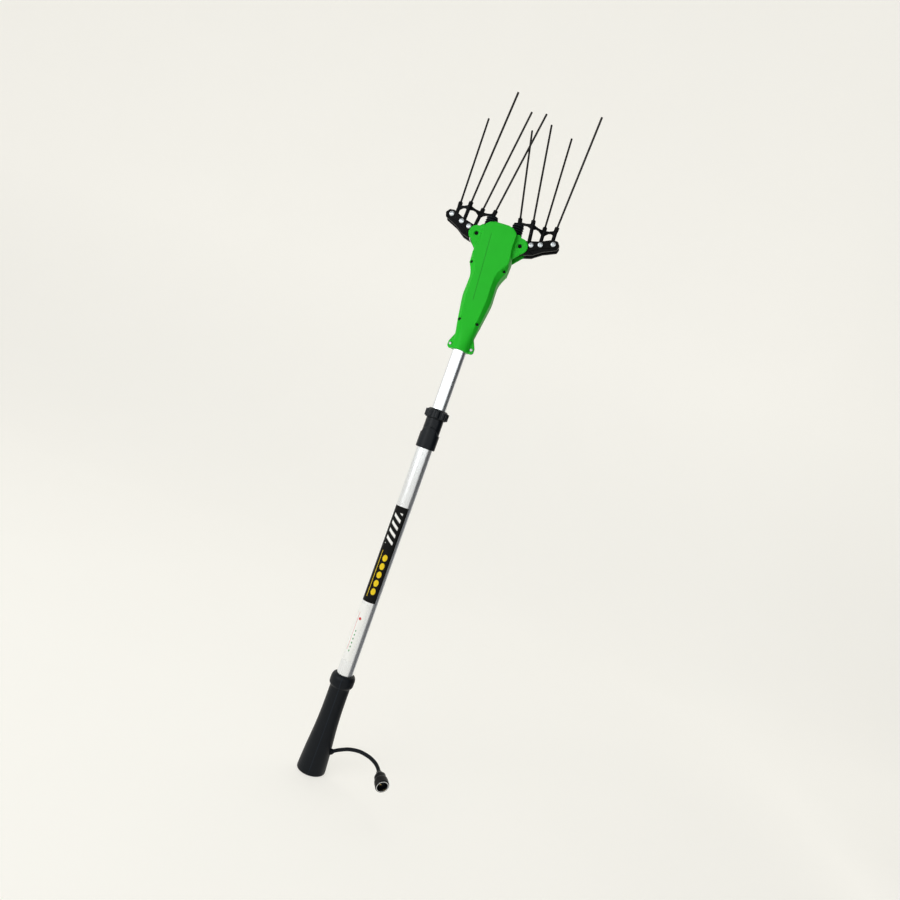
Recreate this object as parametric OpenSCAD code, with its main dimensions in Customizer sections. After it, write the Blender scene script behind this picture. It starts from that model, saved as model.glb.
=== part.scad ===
// Electric olive harvester on a telescopic pole, in millimetres.
// +Z runs up the pole, the front is towards -Y, and the origin lies on the pole axis at the hand's hold.

/* [Grip] */
// Length of the rubber grip with its collar
grip_len = 197; // [185:1:215]
// Height of the hand's hold above the butt
grip_hold = 98; // [90:1:110]
// Diameter of the flared butt
butt_d = 57; // [50:0.5:64]
// Diameter of the waist under the collar
waist_d = 40; // [38:0.5:44]
// Diameter of the collar
collar_d = 48; // [45:0.5:52]
// Length of the collar with its tapered top
collar_len = 24; // [20:1:30]
// Thickness of the butt's floor
butt_floor = 8; // [4:0.5:14]

/* [Pole] */
// Outside diameter of the lower tube
lower_od = 32; // [31.8:0.1:33]
// Outside diameter of the upper tube
upper_od = 28; // [27:0.1:28.2]
// Wall of both tubes
tube_wall = 1.5; // [1.2:0.1:1.6]
// Length of the lower tube between the grip and the twist lock
lower_show = 463; // [400:1:520]
// Length of the upper tube between the twist lock and the housing
upper_show = 121; // [116:1:160]
// Length of the upper tube below the twist lock
upper_in = 492; // [450:1:500]
// Room between the top of the upper tube and the motor's end cap
tube_room = 13; // [8:1:30]

/* [Twist lock] */
// Diameter of the sleeve
sleeve_d = 38.6; // [37.5:0.1:42]
// Length of the lower tube that the sleeve covers
sleeve_len = 36; // [30:1:44]
// Diameter of the neck between sleeve and ring
neck_d = 34.6; // [34.2:0.1:36]
// Length of the neck
neck_len = 24; // [18:1:30]
// Diameter of the ring between its lobes
ring_d = 41; // [39:0.5:44]
// Height of the ring
ring_h = 19; // [16:0.5:24]
// Lobes round the ring
ring_lobes = 9; // [6:1:12]
// How far the lobes stand out
lobe_rise = 3.2; // [2:0.1:4]

/* [Housing] */
// Height of the hand pivots above the housing's lower end
pivot_h = 224; // [218:1:240]
// Wall of both shells
shell_wall = 2.5; // [2:0.1:3]
// Half width of the head at its roof
head_w = 35; // [34.5:0.5:36]
// Half width of the bulges at the motor plate
bulge_w = 38.5; // [38:0.5:40]
// Depth of the head in front of the pole axis
head_front = 25; // [24.5:0.5:28]
// Depth of the head behind the pole axis
head_rear = 28; // [27:0.5:32]
// Height of the roof above the pivots
roof_h = 15; // [14.5:0.5:18]
// Height of the front crest above the pivots
crest_h = 28; // [24:0.5:32]
// Radius of the ears round the pivots
ear_r = 15.5; // [14.5:0.5:16]
// Thickness of an ear plate
ear_t = 3.5; // [3:0.1:4.5]
// Width of the gap between the ear plates
ear_gap = 27; // [26.6:0.2:29]

/* [Hands] */
// Distance of a hand's pivot from the pole axis
pivot_x = 44; // [43:0.5:46]
// Diameter of the pivot pins
pin_d = 8; // [6:0.5:9]
// Distance of the hands' middle plane behind the pole axis
hand_y = 3; // [2:0.5:4]
// Thickness of a hand's hub
hub_t = 20; // [18:0.5:21]
// Thickness of the tongue between the two cheeks
tongue_t = 10; // [8:0.5:11]
// Thickness of a cheek
cheek_t = 8; // [7:0.5:8.5]
// Diameter of the through-bolts
bolt_d = 4; // [3:0.5:5]
// Distance of each row of posts from the hand's middle plane
row_y = 9; // [8.5:0.5:9.5]
// Diameter of a post
post_d = 7.4; // [6:0.2:8]
// Diameter of a post's head
head_d = 8.8; // [8:0.2:10]
// Height of the heads' tops above the pivots
head_z = 57; // [54:0.5:62]
// Height of a head
head_h = 8; // [7:0.5:10]
// Thickness of the web between the posts
web_t = 4.2; // [3:0.2:5]
// Height of the web
web_h = 6; // [4:0.5:7]

/* [Tines] */
// Diameter of a tine
tine_d = 4; // [3.5:0.1:5]
// Length of a tine above its head
tine_len = 205; // [160:1:240]
// Length of a tine in its head
tine_in = 6; // [4:0.5:6.5]

/* [Bellows] */
// Radius of the foot
bellows_foot_r = 13; // [12:0.5:13.5]
// Radius of the top
bellows_top_r = 11; // [9:0.5:12]
// Ribs from foot to top
bellows_ribs = 5; // [3:1:6]
// Wall of the rubber
bellows_wall = 1.4; // [1:0.1:1.6]

/* [Drive] */
// Module of the bevel gears
gear_module = 1.25; // [1.2:0.01:1.26]
// Teeth of the crank gear
gear_teeth = 36; // [36:1:36]
// Teeth of the motor's pinion
pinion_teeth = 9; // [9:1:9]
// Length of the teeth
face_w = 5; // [4:0.1:5.5]
// Throw of the crank pin
crank_throw = 6; // [5:0.1:6.2]
// Depth of the crank's axis below the pivots
crank_drop = 19; // [18.5:0.5:20]
// Diameter of the crank pin
crank_pin_d = 5; // [4:0.2:5]
// Diameter of the crank roller
roller_d = 7; // [6.4:0.1:7]
// Room on each side of the roller in a lever's slot
slot_room = 1.35; // [1.3:0.05:1.6]
// Diameter of the crank's axle
axle_d = 8; // [6:0.5:8]
// Outside diameter of the crank's bearing
bearing_d = 18; // [16:0.5:19]
// Diameter of the motor
motor_d = 40; // [36:0.5:41]
// Length of the motor's can
motor_len = 67; // [55:1:68]
// Diameter of the motor's shaft
shaft_d = 5; // [4:0.1:5]
// Thickness of the motor plate
plate_t = 4; // [3:0.5:5]

/* [Lead] */
// Diameter of the lead
lead_d = 7; // [6:0.1:8]
// Outside diameter of the connector
connector_d = 25.6; // [24:0.2:28]
// Length of the connector
connector_len = 36; // [33:1:44]
// Diameter of the connector's mouth
mouth_d = 20; // [18:0.2:20.4]
// Depth of the connector's mouth
mouth_depth = 14; // [10:0.5:18]
// Diameter of the wound inner lead
coil_d = 18; // [14:0.5:19]

/* [Fits] */
// Radial room of a running fit
fit = 0.05; // [0.02:0.01:0.08]
// Room between parts that pass or seat
gap = 0.3; // [0.2:0.05:0.4]

/* [Hidden] */
$fn = 64;

green = [0.14, 0.70, 0.15];
black = [0.07, 0.07, 0.08];
rubber = [0.10, 0.10, 0.11];
alloy = [0.80, 0.82, 0.84];
steel = [0.70, 0.72, 0.75];
brass = [0.78, 0.62, 0.30];

// Levels along the pole
butt_z = -grip_hold;
grip_top = butt_z + grip_len;
collar_z = grip_top - collar_len;
sleeve_z = grip_top + lower_show;
lower_top = sleeve_z + sleeve_len;
neck_top = lower_top + neck_len;
ring_top = neck_top + gap + ring_h;
upper_foot = sleeve_z - upper_in;
housing_z = ring_top + upper_show;
pivot_z = housing_z + pivot_h;
roof_z = pivot_z + roof_h;
crank_z = pivot_z - crank_drop;

// Radii of the pole
lower_r = lower_od / 2;
lower_bore = lower_r - tube_wall;
upper_r = upper_od / 2;
upper_bore = upper_r - tube_wall;

// Twist lock
collet_r = upper_r + fit + 1.25;
spigot_r = collet_r + fit + 1.15;
spigot_len = 12;
lip_h = ring_h - spigot_len - 2 * gap;

// Planes of the ears
ear_front = hand_y - ear_gap / 2;
ear_rear = hand_y + ear_gap / 2;

// Bevel gears: both pitch cones meet on the motor's axis at the crank's height
gear_r = gear_module * gear_teeth / 2;
pinion_r = gear_module * pinion_teeth / 2;
gear_cone = atan(gear_teeth / pinion_teeth);
pinion_cone = 90 - gear_cone;
cone_len = gear_r / sin(gear_cone);
pinion_heel_z = crank_z - cone_len * cos(pinion_cone);
pinion_hub_h = 5;
plate_top = pinion_heel_z - pinion_hub_h - 1.5;
motor_top = plate_top - plate_t;
motor_foot = motor_top - motor_len;
end_cap_h = 12;
upper_top = motor_foot - end_cap_h - tube_room;
upper_grip = upper_top - housing_z;
rise = motor_foot - housing_z;

// Crank gear, from the rear web to the front hub
web_rear_y = -4.5;
web_front_y = -9.3;
hub_front_y = -15.2;
hub_r = bearing_d / 2 + 2.5;

// A hand, in its own frame: pivot at the origin, outwards along +X, seen from the front
bolt_at = [[ear_r + 3.6, 9], [36, 14.5], [59, 22.5]];
post_foot_x = [-17.5, 13.5, 33, 56.4];
post_head_x = [-17.5, 9, 31.6, 55];
// Leans of the tines in degrees, from the inner to the outer one: outwards, and towards the hand's own rear
right_out_lean = [-13, -9.5, -4, 4];
right_back_lean = [14, 8, 11.5, -14];
left_out_lean = [-9, -8, -9.5, 4.5];
left_back_lean = [3, 3, 22, -14];
post_y = [0, -row_y, row_y, -row_y];
horn_r = 5.5;
horn_top = 12;
cheek_outline = [
    [6, 13.9], [33, 21], [56, 31.5], [66, 30.5], [71.5, 23], [69, 15], [44, 4], [27, -8], [6, -14]
];
cheek_in = ear_r + 0.8;
slot_half = roller_d / 2 + slot_room;
lever_wall = 3;
lever_y0 = 0.5;
lever_y1 = 5;
slot_reach = crank_throw + 2.2;

// Housing stations: level, half width, front depth, rear depth, squareness in front and behind
stations = [
    [housing_z, 18.8, 18.8, 18.8, 2, 2], [housing_z + 0.13 * rise, 19, 19, 19, 2, 2],
    [housing_z + 0.3 * rise, 19.5, 19.5, 19.5, 2.6, 2.2], [housing_z + 0.5 * rise, 22.5, 21.5, 21.5, 3.6, 2.8],
    [housing_z + 0.68 * rise, 25, 23.5, 23.5, 4.2, 3.2], [housing_z + 0.89 * rise, 28, 26, 26, 4.6, 3.4],
    [housing_z + 1.02 * rise, 29, 26.5, 27, 4.8, 3.6], [motor_top - 33, 28, 26, 27, 4.4, 3.6],
    [motor_top - 18, 32, 25.5, 27.5, 2.9, 3.6], [motor_top - 6, bulge_w - 1, 25.2, head_rear, 3, 3.8],
    [motor_top + 8, bulge_w, head_front, head_rear, 5.5, 4], [motor_top + 21, bulge_w, head_front, head_rear, 6, 4],
    [motor_top + 36, head_w + 0.5, head_front, head_rear, 6, 4], [roof_z, head_w, head_front, head_rear, 6, 4]
];
ring_steps = 2;
arc_steps = 20;

// Bosses of the shell screws: across, level and depth of the sunk head
boss_r = 4.2;
boss_at = [[17.8, housing_z + 0.535 * rise, 11], [33.2, motor_top - boss_r - 0.6, 12]];
screw_head_r = 3;
screw_r = 1.5;
lug_x = 21.5;
lug_z = housing_z + 8;
lug_t = 5;

// Lead: hand-chosen points from the gland to the connector, from the butt's side and end
lead_route = [
    [1, -1, 49], [9, -3.5, 55.5], [18, -6, 61.5], [27, -8.5, 67], [36.5, -12, 71.5], [46, -15.5, 75],
    [55.5, -19.5, 77.5], [65, -24.5, 79], [74.5, -30, 80], [83, -36, 80], [91, -43.5, 79.5],
    [97.5, -51.5, 78], [102.5, -60.5, 76]
];
lead_path = [for (p = lead_route) p + [butt_d / 2, 0, butt_z]];
lead_sides = 10;
lead_end = lead_path[len(lead_path) - 1];
lead_dir = lead_end - lead_path[len(lead_path) - 2];
gland_dir = lead_path[1] - lead_path[0];
gland_len = 13;
insert_h = 4;
insert_r = mouth_d / 2 - 0.6;

// Points along a smooth run through stations

function span_of(z, rows, i = 0) = (i >= len(rows) - 2 || z <= rows[i + 1][0]) ? i : span_of(z, rows, i + 1);

function slope_at(rows, i, k) =
    (i == 0 || i == len(rows) - 1) ? 0
    : (rows[i + 1][k] - rows[i - 1][k]) / (rows[i + 1][0] - rows[i - 1][0]);

function smooth(z, rows, k) =
    let (i = span_of(z, rows), h = rows[i + 1][0] - rows[i][0], t = (z - rows[i][0]) / h)
    (2 * t * t * t - 3 * t * t + 1) * rows[i][k] + (t * t * t - 2 * t * t + t) * h * slope_at(rows, i, k)
    + (3 * t * t - 2 * t * t * t) * rows[i + 1][k] + (t * t * t - t * t) * h * slope_at(rows, i + 1, k);

function levels(rows, steps) = [
    for (i = [0 : len(rows) - 2], s = [0 : steps - 1]) rows[i][0] + (rows[i + 1][0] - rows[i][0]) * s / steps,
    rows[len(rows) - 1][0]
];

// Half of a squared oval, from +X round the side to -X
function half_oval(w, d, n, side) = [
    for (j = [0 : arc_steps]) let (t = 180 * j / arc_steps)
    [w * sign(cos(t)) * pow(abs(cos(t)), 2 / n), side * d * pow(abs(sin(t)), 2 / n)]
];

function reversed(list) = [for (i = [len(list) - 1 : -1 : 0]) list[i]];

// Share of the way from the tube's seat to the open neck
function opening_share(z) = min(1, max(0, (z - upper_top - 2) / 10));

function mix(a, b, t) = a + (b - a) * t;

// One cross-section of a shell: its outer half oval and back along the inner one
function shell_ring(z, side) =
    let (
        w = smooth(z, stations, 1), d = smooth(z, stations, side < 0 ? 2 : 3), n = smooth(z, stations, side < 0 ? 4 : 5),
        t = opening_share(z), seat = upper_r - 1.5,
        outer = half_oval(w, d, n, side),
        inner = half_oval(mix(seat, w - shell_wall, t), mix(seat, d - shell_wall, t), mix(2, n, t), side),
        loop = concat(outer, reversed(inner))
    )
    [for (p = side < 0 ? reversed(loop) : loop) [p.x, p.y + side * gap / 4, z]];

// Shapes shared by several parts

module loft(rings) {
    n = len(rings[0]);
    last = len(rings) - 1;
    sides = [
        for (i = [0 : last - 1], j = [0 : n - 1]) let (k = (j + 1) % n, a = i * n, b = a + n)
        each [[a + j, b + j, b + k], [a + j, b + k, a + k]]
    ];
    top = last * n;
    caps = [
        for (j = [0 : n / 2 - 2])
        each [
            [j, j + 1, n - 2 - j], [j, n - 2 - j, n - 1 - j],
            [top + n - 2 - j, top + j + 1, top + j], [top + n - 1 - j, top + n - 2 - j, top + j]
        ]
    ];
    polyhedron(points = [for (r = rings) each r], faces = concat(sides, caps), convexity = 6);
}

module facing(dir) {
    rotate([0, acos(dir.z / norm(dir)), atan2(dir.y, dir.x)]) children();
}

module rod(a, b, r) {
    translate(a) facing(b - a) cylinder(r = r, h = norm(b - a));
}

module along_y(y0, y1, r) {
    translate([0, y0, 0]) rotate([-90, 0, 0]) cylinder(r = r, h = y1 - y0);
}

module plate_y(y0, y1, outline) {
    translate([0, y1, 0]) rotate([90, 0, 0]) linear_extrude(y1 - y0) polygon(outline);
}

module tube(r, bore, z0, z1) {
    translate([0, 0, z0]) difference() {
        cylinder(r = r, h = z1 - z0);
        translate([0, 0, -1]) cylinder(r = bore, h = z1 - z0 + 2);
    }
}

module both_sides() {
    children();
    mirror([1, 0, 0]) children();
}

// Places a hand's own frame: the left hand is the right one turned half round the pole
module at_hand(side) {
    translate([side * pivot_x, hand_y, pivot_z]) rotate(side > 0 ? 0 : 180) children();
}

// Handle

barrel = collar_z - butt_z;
grip_rows = [
    [butt_z, butt_d / 2], [butt_z + 0.09 * barrel, butt_d / 2 - 0.8], [butt_z + 0.26 * barrel, butt_d / 2 - 2.8],
    [butt_z + 0.48 * barrel, mix(waist_d / 2, butt_d / 2, 0.27)], [butt_z + 0.71 * barrel, waist_d / 2 + 0.3],
    [collar_z - 10, waist_d / 2], [collar_z - 2, waist_d / 2]
];

module grip() {
    side = [for (z = levels(grip_rows, 2)) [smooth(z, grip_rows, 1), z]];
    rim = lower_r + fit;
    profile = concat(
        [[0, butt_z], [butt_d / 2 - 1.2, butt_z], [butt_d / 2, butt_z + 1.2]], [for (p = side) if (p.y > butt_z + 1.5) p],
        [
            [collar_d / 2 - 1, collar_z + 1.5], [collar_d / 2, collar_z + 4], [collar_d / 2, grip_top - 9],
            [collar_d / 2 - 0.9, grip_top - 5], [collar_d / 2 - 2.8, grip_top - 1.8], [rim + 1.6, grip_top],
            [rim, grip_top],
            [rim, butt_z + butt_floor], [0, butt_z + butt_floor]
        ]
    );
    color(rubber) difference() {
        rotate_extrude() polygon(profile);
        rod(lead_path[0] - gland_dir * 4, lead_path[0] + gland_dir, lead_d / 2 + 2 + fit);
    }
}

module lower_tube() {
    color(alloy) difference() {
        tube(lower_r, lower_bore, butt_z + butt_floor, lower_top);
        rod(lead_path[0] - gland_dir * 4, lead_path[0], lead_d / 2 + 1);
    }
}

module cable_gland() {
    inner = gland_len - 3;
    color(rubber) translate(lead_path[0]) facing(gland_dir) difference() {
        union() {
            translate([0, 0, -inner]) cylinder(r = lead_d / 2 + 2, h = inner - 3);
            translate([0, 0, -3]) cylinder(r1 = lead_d / 2 + 2, r2 = lead_d / 2 + 1, h = 3);
        }
        rotate_extrude() translate([lead_d / 2 + 1.6, -3]) square([1, 0.8]);
    }
}

function step_dir(path, i) =
    let (a = path[max(i - 1, 0)], b = path[min(i + 1, len(path) - 1)]) (b - a) / norm(b - a);

function lead_ring(path, i, r) =
    let (d = step_dir(path, i), u = cross(d, [0, 1, 0]), side = u / norm(u), up = cross(side, d))
    [for (k = [0 : lead_sides - 1]) let (t = 360 * k / lead_sides) path[i] + r * (cos(t) * side - sin(t) * up)];

module pigtail_lead() {
    color(black) loft([for (i = [0 : len(lead_path) - 1]) reversed(lead_ring(lead_path, i, lead_d / 2))]);
}

module at_connector() {
    translate(lead_end) facing(lead_dir) children();
}

module connector_body() {
    r = connector_d / 2;
    floor_z = connector_len - mouth_depth;
    color(black) at_connector() rotate_extrude() polygon([
        [0, 0], [lead_d / 2 + 1.5, 0], [lead_d / 2 + 3, 5], [r - 3.5, 9], [r - 2.2, 11], [r - 2, 19],
        [r - 0.6, 21], [r, 25], [r, connector_len - 2], [r - 1, connector_len], [mouth_d / 2 + 1.2, connector_len],
        [mouth_d / 2 + 1.2, connector_len - 3], [mouth_d / 2, connector_len - 3], [mouth_d / 2, floor_z + insert_h],
        [insert_r + fit, floor_z + insert_h], [insert_r + fit, floor_z], [0, floor_z]
    ]);
}

module connector_ring() {
    color(steel) at_connector() tube(mouth_d / 2 + 1.2 - fit, mouth_d / 2 + 0.2, connector_len - 3, connector_len - 0.3);
}

module connector_insert() {
    color(black) at_connector() difference() {
        translate([0, 0, connector_len - mouth_depth]) cylinder(r = insert_r, h = insert_h);
        for (x = [-4, 4]) translate([x, 0, connector_len - mouth_depth + 1]) cylinder(r = 1.6 + fit, h = 4);
    }
}

module connector_contacts() {
    color(brass) at_connector() for (x = [-4, 4])
        translate([x, 0, connector_len - mouth_depth + 1]) cylinder(r = 1.6, h = insert_h - 1.3);
}

module clamp_sleeve() {
    arch_r = sleeve_d / 2 - 2;
    color(black) difference() {
        union() {
            translate([0, 0, sleeve_z]) cylinder(r1 = sleeve_d / 2 - 0.6, r2 = sleeve_d / 2, h = 2);
            translate([0, 0, sleeve_z + 2]) cylinder(r = sleeve_d / 2, h = sleeve_len - 8);
            intersection() {
                translate([0, 0, sleeve_z + 4]) cylinder(r = sleeve_d / 2, h = sleeve_len + 6);
                translate([0, 0, lower_top - arch_r + 6]) along_y(-sleeve_d, sleeve_d, arch_r);
            }
            translate([0, 0, sleeve_z + 4]) cylinder(r = neck_d / 2, h = neck_top - sleeve_z - 4);
            translate([0, 0, neck_top - 1]) cylinder(r = spigot_r, h = spigot_len + 1);
        }
        translate([0, 0, sleeve_z - 1]) cylinder(r = lower_r + fit, h = sleeve_len + 1);
        translate([0, 0, sleeve_z]) cylinder(r = collet_r + fit, h = neck_top + spigot_len - sleeve_z + 1);
    }
}

module clamp_collet() {
    slit = 2;
    foot = lower_top + 0.2;
    color(black) difference() {
        tube(collet_r, upper_r + fit, foot, neck_top + spigot_len);
        for (a = [0, 90]) rotate(a)
            translate([-collet_r - 1, -slit / 2, foot + 8]) cube([2 * collet_r + 2, slit, neck_len + spigot_len]);
    }
}

module lock_ring() {
    z0 = neck_top + gap;
    lobe_r = 5.2;
    color(black) difference() {
        union() {
            translate([0, 0, z0]) cylinder(r = ring_d / 2, h = ring_h - 3);
            translate([0, 0, z0 + ring_h - 3]) cylinder(r1 = ring_d / 2, r2 = ring_d / 2 - 3, h = 3);
            for (k = [0 : ring_lobes - 1]) rotate(360 * k / ring_lobes)
                translate([ring_d / 2 + lobe_rise - lobe_r, 0, z0 + 1.5]) cylinder(r = lobe_r, h = ring_h - 5);
        }
        translate([0, 0, z0 - 1]) cylinder(r = spigot_r + fit, h = spigot_len + gap + 1);
        translate([0, 0, z0]) cylinder(r = upper_r + gap, h = ring_h + 1);
    }
}

// Mast

module upper_tube() {
    color(alloy) tube(upper_r, upper_bore, upper_foot, upper_top);
}

module slide_bush() {
    bore = coil_d / 2 + 1;
    color(black) {
        tube(lower_bore - fit, bore, upper_foot - 8, upper_foot);
        tube(upper_bore - fit, bore, upper_foot, upper_foot + 18);
    }
}

module inner_lead() {
    color(black) tube(coil_d / 2, coil_d / 2 - 4, butt_z + 40, motor_foot - end_cap_h - 0.2);
}

// Outline of an ear round the pivot at the right
ear_outline = [[-14, 24], [-7, 21], [-1, ear_r - 0.1], [ear_r * 0.52, -ear_r * 0.85], [-6, -29], [-14, -34]];

module ears(y0, y1) {
    both_sides() translate([pivot_x, 0, pivot_z]) {
        plate_y(y0, y1, ear_outline);
        along_y(y0, y1, ear_r);
    }
}

// Ring inside an ear that carries the pivot pin, up to the hub
module pivot_bosses(y0, y1) {
    both_sides() translate([pivot_x, 0, pivot_z]) along_y(y0, y1, pin_d / 2 + 3);
}

module roof(side) {
    d = side < 0 ? head_front : head_rear;
    oval = half_oval(head_w - 1, d - 1, side < 0 ? 6 : 4, side);
    translate([0, side * gap / 4, roof_z - shell_wall]) linear_extrude(shell_wall) polygon(oval);
}

// Openings where the hands leave the head at its sides
module hand_windows() {
    both_sides() translate([head_w - 8, ear_front, pivot_z - 27]) cube([40, ear_gap, 27 + roof_h + 1]);
}

module bellows_holes() {
    for (s = [-1, 1]) at_hand(s)
        translate([post_foot_x[0], 0, roof_h - shell_wall - 1]) cylinder(r = bellows_foot_r - 3.5, h = shell_wall + 2);
}

module screw_bosses(side, depth) {
    y0 = side < 0 ? -depth : gap / 4;
    y1 = side < 0 ? -gap / 4 : depth;
    both_sides() for (b = boss_at) translate([b.x, 0, b.y]) along_y(y0, y1, boss_r);
}

module lugs(side) {
    y0 = side < 0 ? -lug_t : gap / 4;
    y1 = side < 0 ? -gap / 4 : lug_t;
    flare = [[upper_r + 1, 0], [23.5, 0], [26.5, 3.5], [26.5, 12], [20, 27], [upper_r + 1, 30]];
    both_sides() translate([0, 0, housing_z]) plate_y(y0, y1, flare);
}

// Everything that is drilled through both shells
module shell_bores() {
    both_sides() {
        translate([pivot_x, 0, pivot_z]) along_y(-40, 40, pin_d / 2 + fit);
        translate([lug_x, 0, lug_z]) along_y(-40, 40, 1.8 + fit);
        for (b = boss_at) translate([b.x, 0, b.y]) {
            along_y(-40, 10, screw_r + fit);
            along_y(-40, -b.z, screw_head_r + fit);
        }
    }
    translate([0, 0, housing_z - 1]) cylinder(r = upper_r + fit, h = upper_grip + 2);
}

// Front wall of the head carried up above the roof
module crest() {
    top = crest_h + pivot_z;
    lip = 4.5;
    half = head_w - 1.5;
    outline = [
        [-half, roof_z - 6], [half, roof_z - 6], [half, top - 15], [half - 3, top - 9], [24, top - 3.5], [14, top],
        [-14, top], [-24, top - 3.5], [3 - half, top - 9], [-half, top - 15]
    ];
    intersection() {
        plate_y(-head_front - 5, ear_front - ear_t + 1, outline);
        translate([0, 0, roof_z - 7]) linear_extrude(crest_h + 7) difference() {
            polygon(half_oval(head_w - 0.05, head_front, 6, -1));
            polygon(half_oval(head_w - lip, head_front - lip, 6, -1));
        }
    }
    rotate([0, 90, 0]) translate([0, 0, -11]) linear_extrude(22) polygon([
        [1 - roof_z, 3 - head_front], [0.4 - top, 3 - head_front], [3 - top, 12 - head_front], [1 - roof_z, -1]
    ]);
}

module axle_boss() {
    translate([0, 0, crank_z]) along_y(1 - head_front, hub_front_y - 0.4, axle_d / 2 + 3);
}

module front_shell() {
    rings = [for (z = levels(stations, ring_steps)) shell_ring(z, -1)];
    color(green) difference() {
        union() {
            difference() {
                union() {
                    loft(rings);
                    roof(-1);
                }
                hand_windows();
                bellows_holes();
            }
            ears(ear_front - ear_t, ear_front);
            pivot_bosses(ear_front - 1, hand_y - hub_t / 2 - gap);
            screw_bosses(-1, 17);
            lugs(-1);
            axle_boss();
            crest();
        }
        shell_bores();
        translate([0, 0, crank_z]) along_y(2 - head_front, 0, axle_d / 2 + fit);
    }
}

module rear_shell() {
    rings = [for (z = levels(stations, ring_steps)) shell_ring(z, 1)];
    color(green) difference() {
        union() {
            difference() {
                union() {
                    loft(rings);
                    roof(1);
                }
                hand_windows();
                bellows_holes();
            }
            ears(ear_rear, ear_rear + ear_t);
            pivot_bosses(hand_y + hub_t / 2 + gap, ear_rear + 1);
            screw_bosses(1, 15);
            lugs(1);
        }
        shell_bores();
    }
}

module shell_screws() {
    color(black) both_sides() for (b = boss_at) translate([b.x, 0, b.y]) {
        along_y(-b.z + 0.1, 9.5, screw_r);
        along_y(-b.z - 2.2, -b.z - gap / 4, screw_head_r);
        along_y(-b.z - gap / 4 - 0.1, -b.z + 0.2, screw_r);
    }
}

module lug_screws() {
    color(steel) both_sides() translate([lug_x, 0, lug_z]) difference() {
        union() {
            along_y(-lug_t - 2, -lug_t - 0.05, 3);
            along_y(-lug_t - 0.1, lug_t + 5, 1.8);
        }
        for (a = [0, 90]) rotate([0, a, 0]) translate([-1.7, -lug_t - 3, -0.4]) cube([3.4, 2, 0.8]);
    }
}

module lug_nuts() {
    color(steel) both_sides() translate([lug_x, 0, lug_z]) difference() {
        translate([0, lug_t + 0.05, 0]) rotate([-90, 0, 0]) cylinder(r = 3.4, h = 3, $fn = 6);
        along_y(0, 20, 1.8 + fit);
    }
}

// Motor

module motor_can() {
    color(steel) difference() {
        union() {
            translate([0, 0, motor_foot]) cylinder(r = motor_d / 2, h = motor_len - 3);
            translate([0, 0, motor_top - 3]) cylinder(r1 = motor_d / 2, r2 = motor_d / 2 - 2, h = 2.9);
            translate([0, 0, motor_top - 1]) cylinder(r = 8.5, h = plate_t);
        }
        translate([0, 0, motor_foot + 10]) cylinder(r = shaft_d / 2 + fit, h = motor_len + plate_t);
        for (x = [-12.5, 12.5]) translate([x, 0, motor_top - 6]) cylinder(r = 1.5 + fit, h = 10);
    }
}

module motor_end_cap() {
    color(black) {
        translate([0, 0, motor_foot - end_cap_h]) cylinder(r = 9, h = 5);
        translate([0, 0, motor_foot - end_cap_h + 4]) cylinder(r = motor_d / 2 - 1.5, h = end_cap_h - 4);
        for (x = [-13, 13]) translate([x - 0.4, -3, motor_foot - end_cap_h - 4]) cube([0.8, 6, 9]);
    }
}

module motor_plate() {
    w = bulge_w - 1 - shell_wall - gap;
    front = half_oval(w, head_front - shell_wall - gap, 2.8, -1);
    rear = half_oval(w, head_rear - shell_wall - gap, 3.8, 1);
    color(steel) translate([0, 0, motor_top]) difference() {
        linear_extrude(plate_t) polygon(concat(reversed(front), rear));
        translate([0, 0, -1]) cylinder(r = 8.5 + fit, h = plate_t + 2);
        for (x = [-12.5, 12.5]) translate([x, 0, -1]) cylinder(r = 1.5 + fit, h = plate_t + 2);
    }
}

module plate_screws() {
    color(steel) for (x = [-12.5, 12.5]) translate([x, 0, 0]) {
        translate([0, 0, motor_top - 5]) cylinder(r = 1.5, h = plate_t + 5.1);
        translate([0, 0, plate_top + 0.05]) cylinder(r = 2.75, h = 2);
    }
}

module motor_shaft() {
    color(steel) translate([0, 0, motor_foot + 12])
        cylinder(r = shaft_d / 2, h = crank_z - (cone_len - face_w) * cos(pinion_cone) - motor_foot - 12);
}

// Bevel teeth round the local Z axis, with the cones' common tip at the origin
module bevel_teeth(count, cone, tip, root, turn) {
    function on_cone(g, h, s, a) =
        g * [sin(cone) * cos(a), sin(cone) * sin(a), cos(cone)]
        + h * [cos(cone) * cos(a), cos(cone) * sin(a), -sin(cone)] + s * [sin(a), -cos(a), 0];
    half = gear_module * PI / 4 * 0.72;
    for (k = [0 : count - 1]) let (a = turn + 360 * k / count) {
        ends = [
            for (g = [cone_len - face_w, cone_len]) let (s = g / cone_len)
            [
                on_cone(g, -root * s, (half + root * 0.3) * s, a), on_cone(g, tip * s, (half - tip * 0.36) * s, a),
                on_cone(g, tip * s, -(half - tip * 0.36) * s, a), on_cone(g, -root * s, -(half + root * 0.3) * s, a)
            ]
        ];
        polyhedron(
            points = concat(ends[0], ends[1]),
            faces = [
                [0, 1, 2], [0, 2, 3], [4, 6, 5], [4, 7, 6], [0, 5, 1], [0, 4, 5], [1, 6, 2], [1, 5, 6],
                [2, 7, 3], [2, 6, 7], [3, 4, 0], [3, 7, 4]
            ]
        );
    }
}

tooth_root = gear_module * 1.25;

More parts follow.
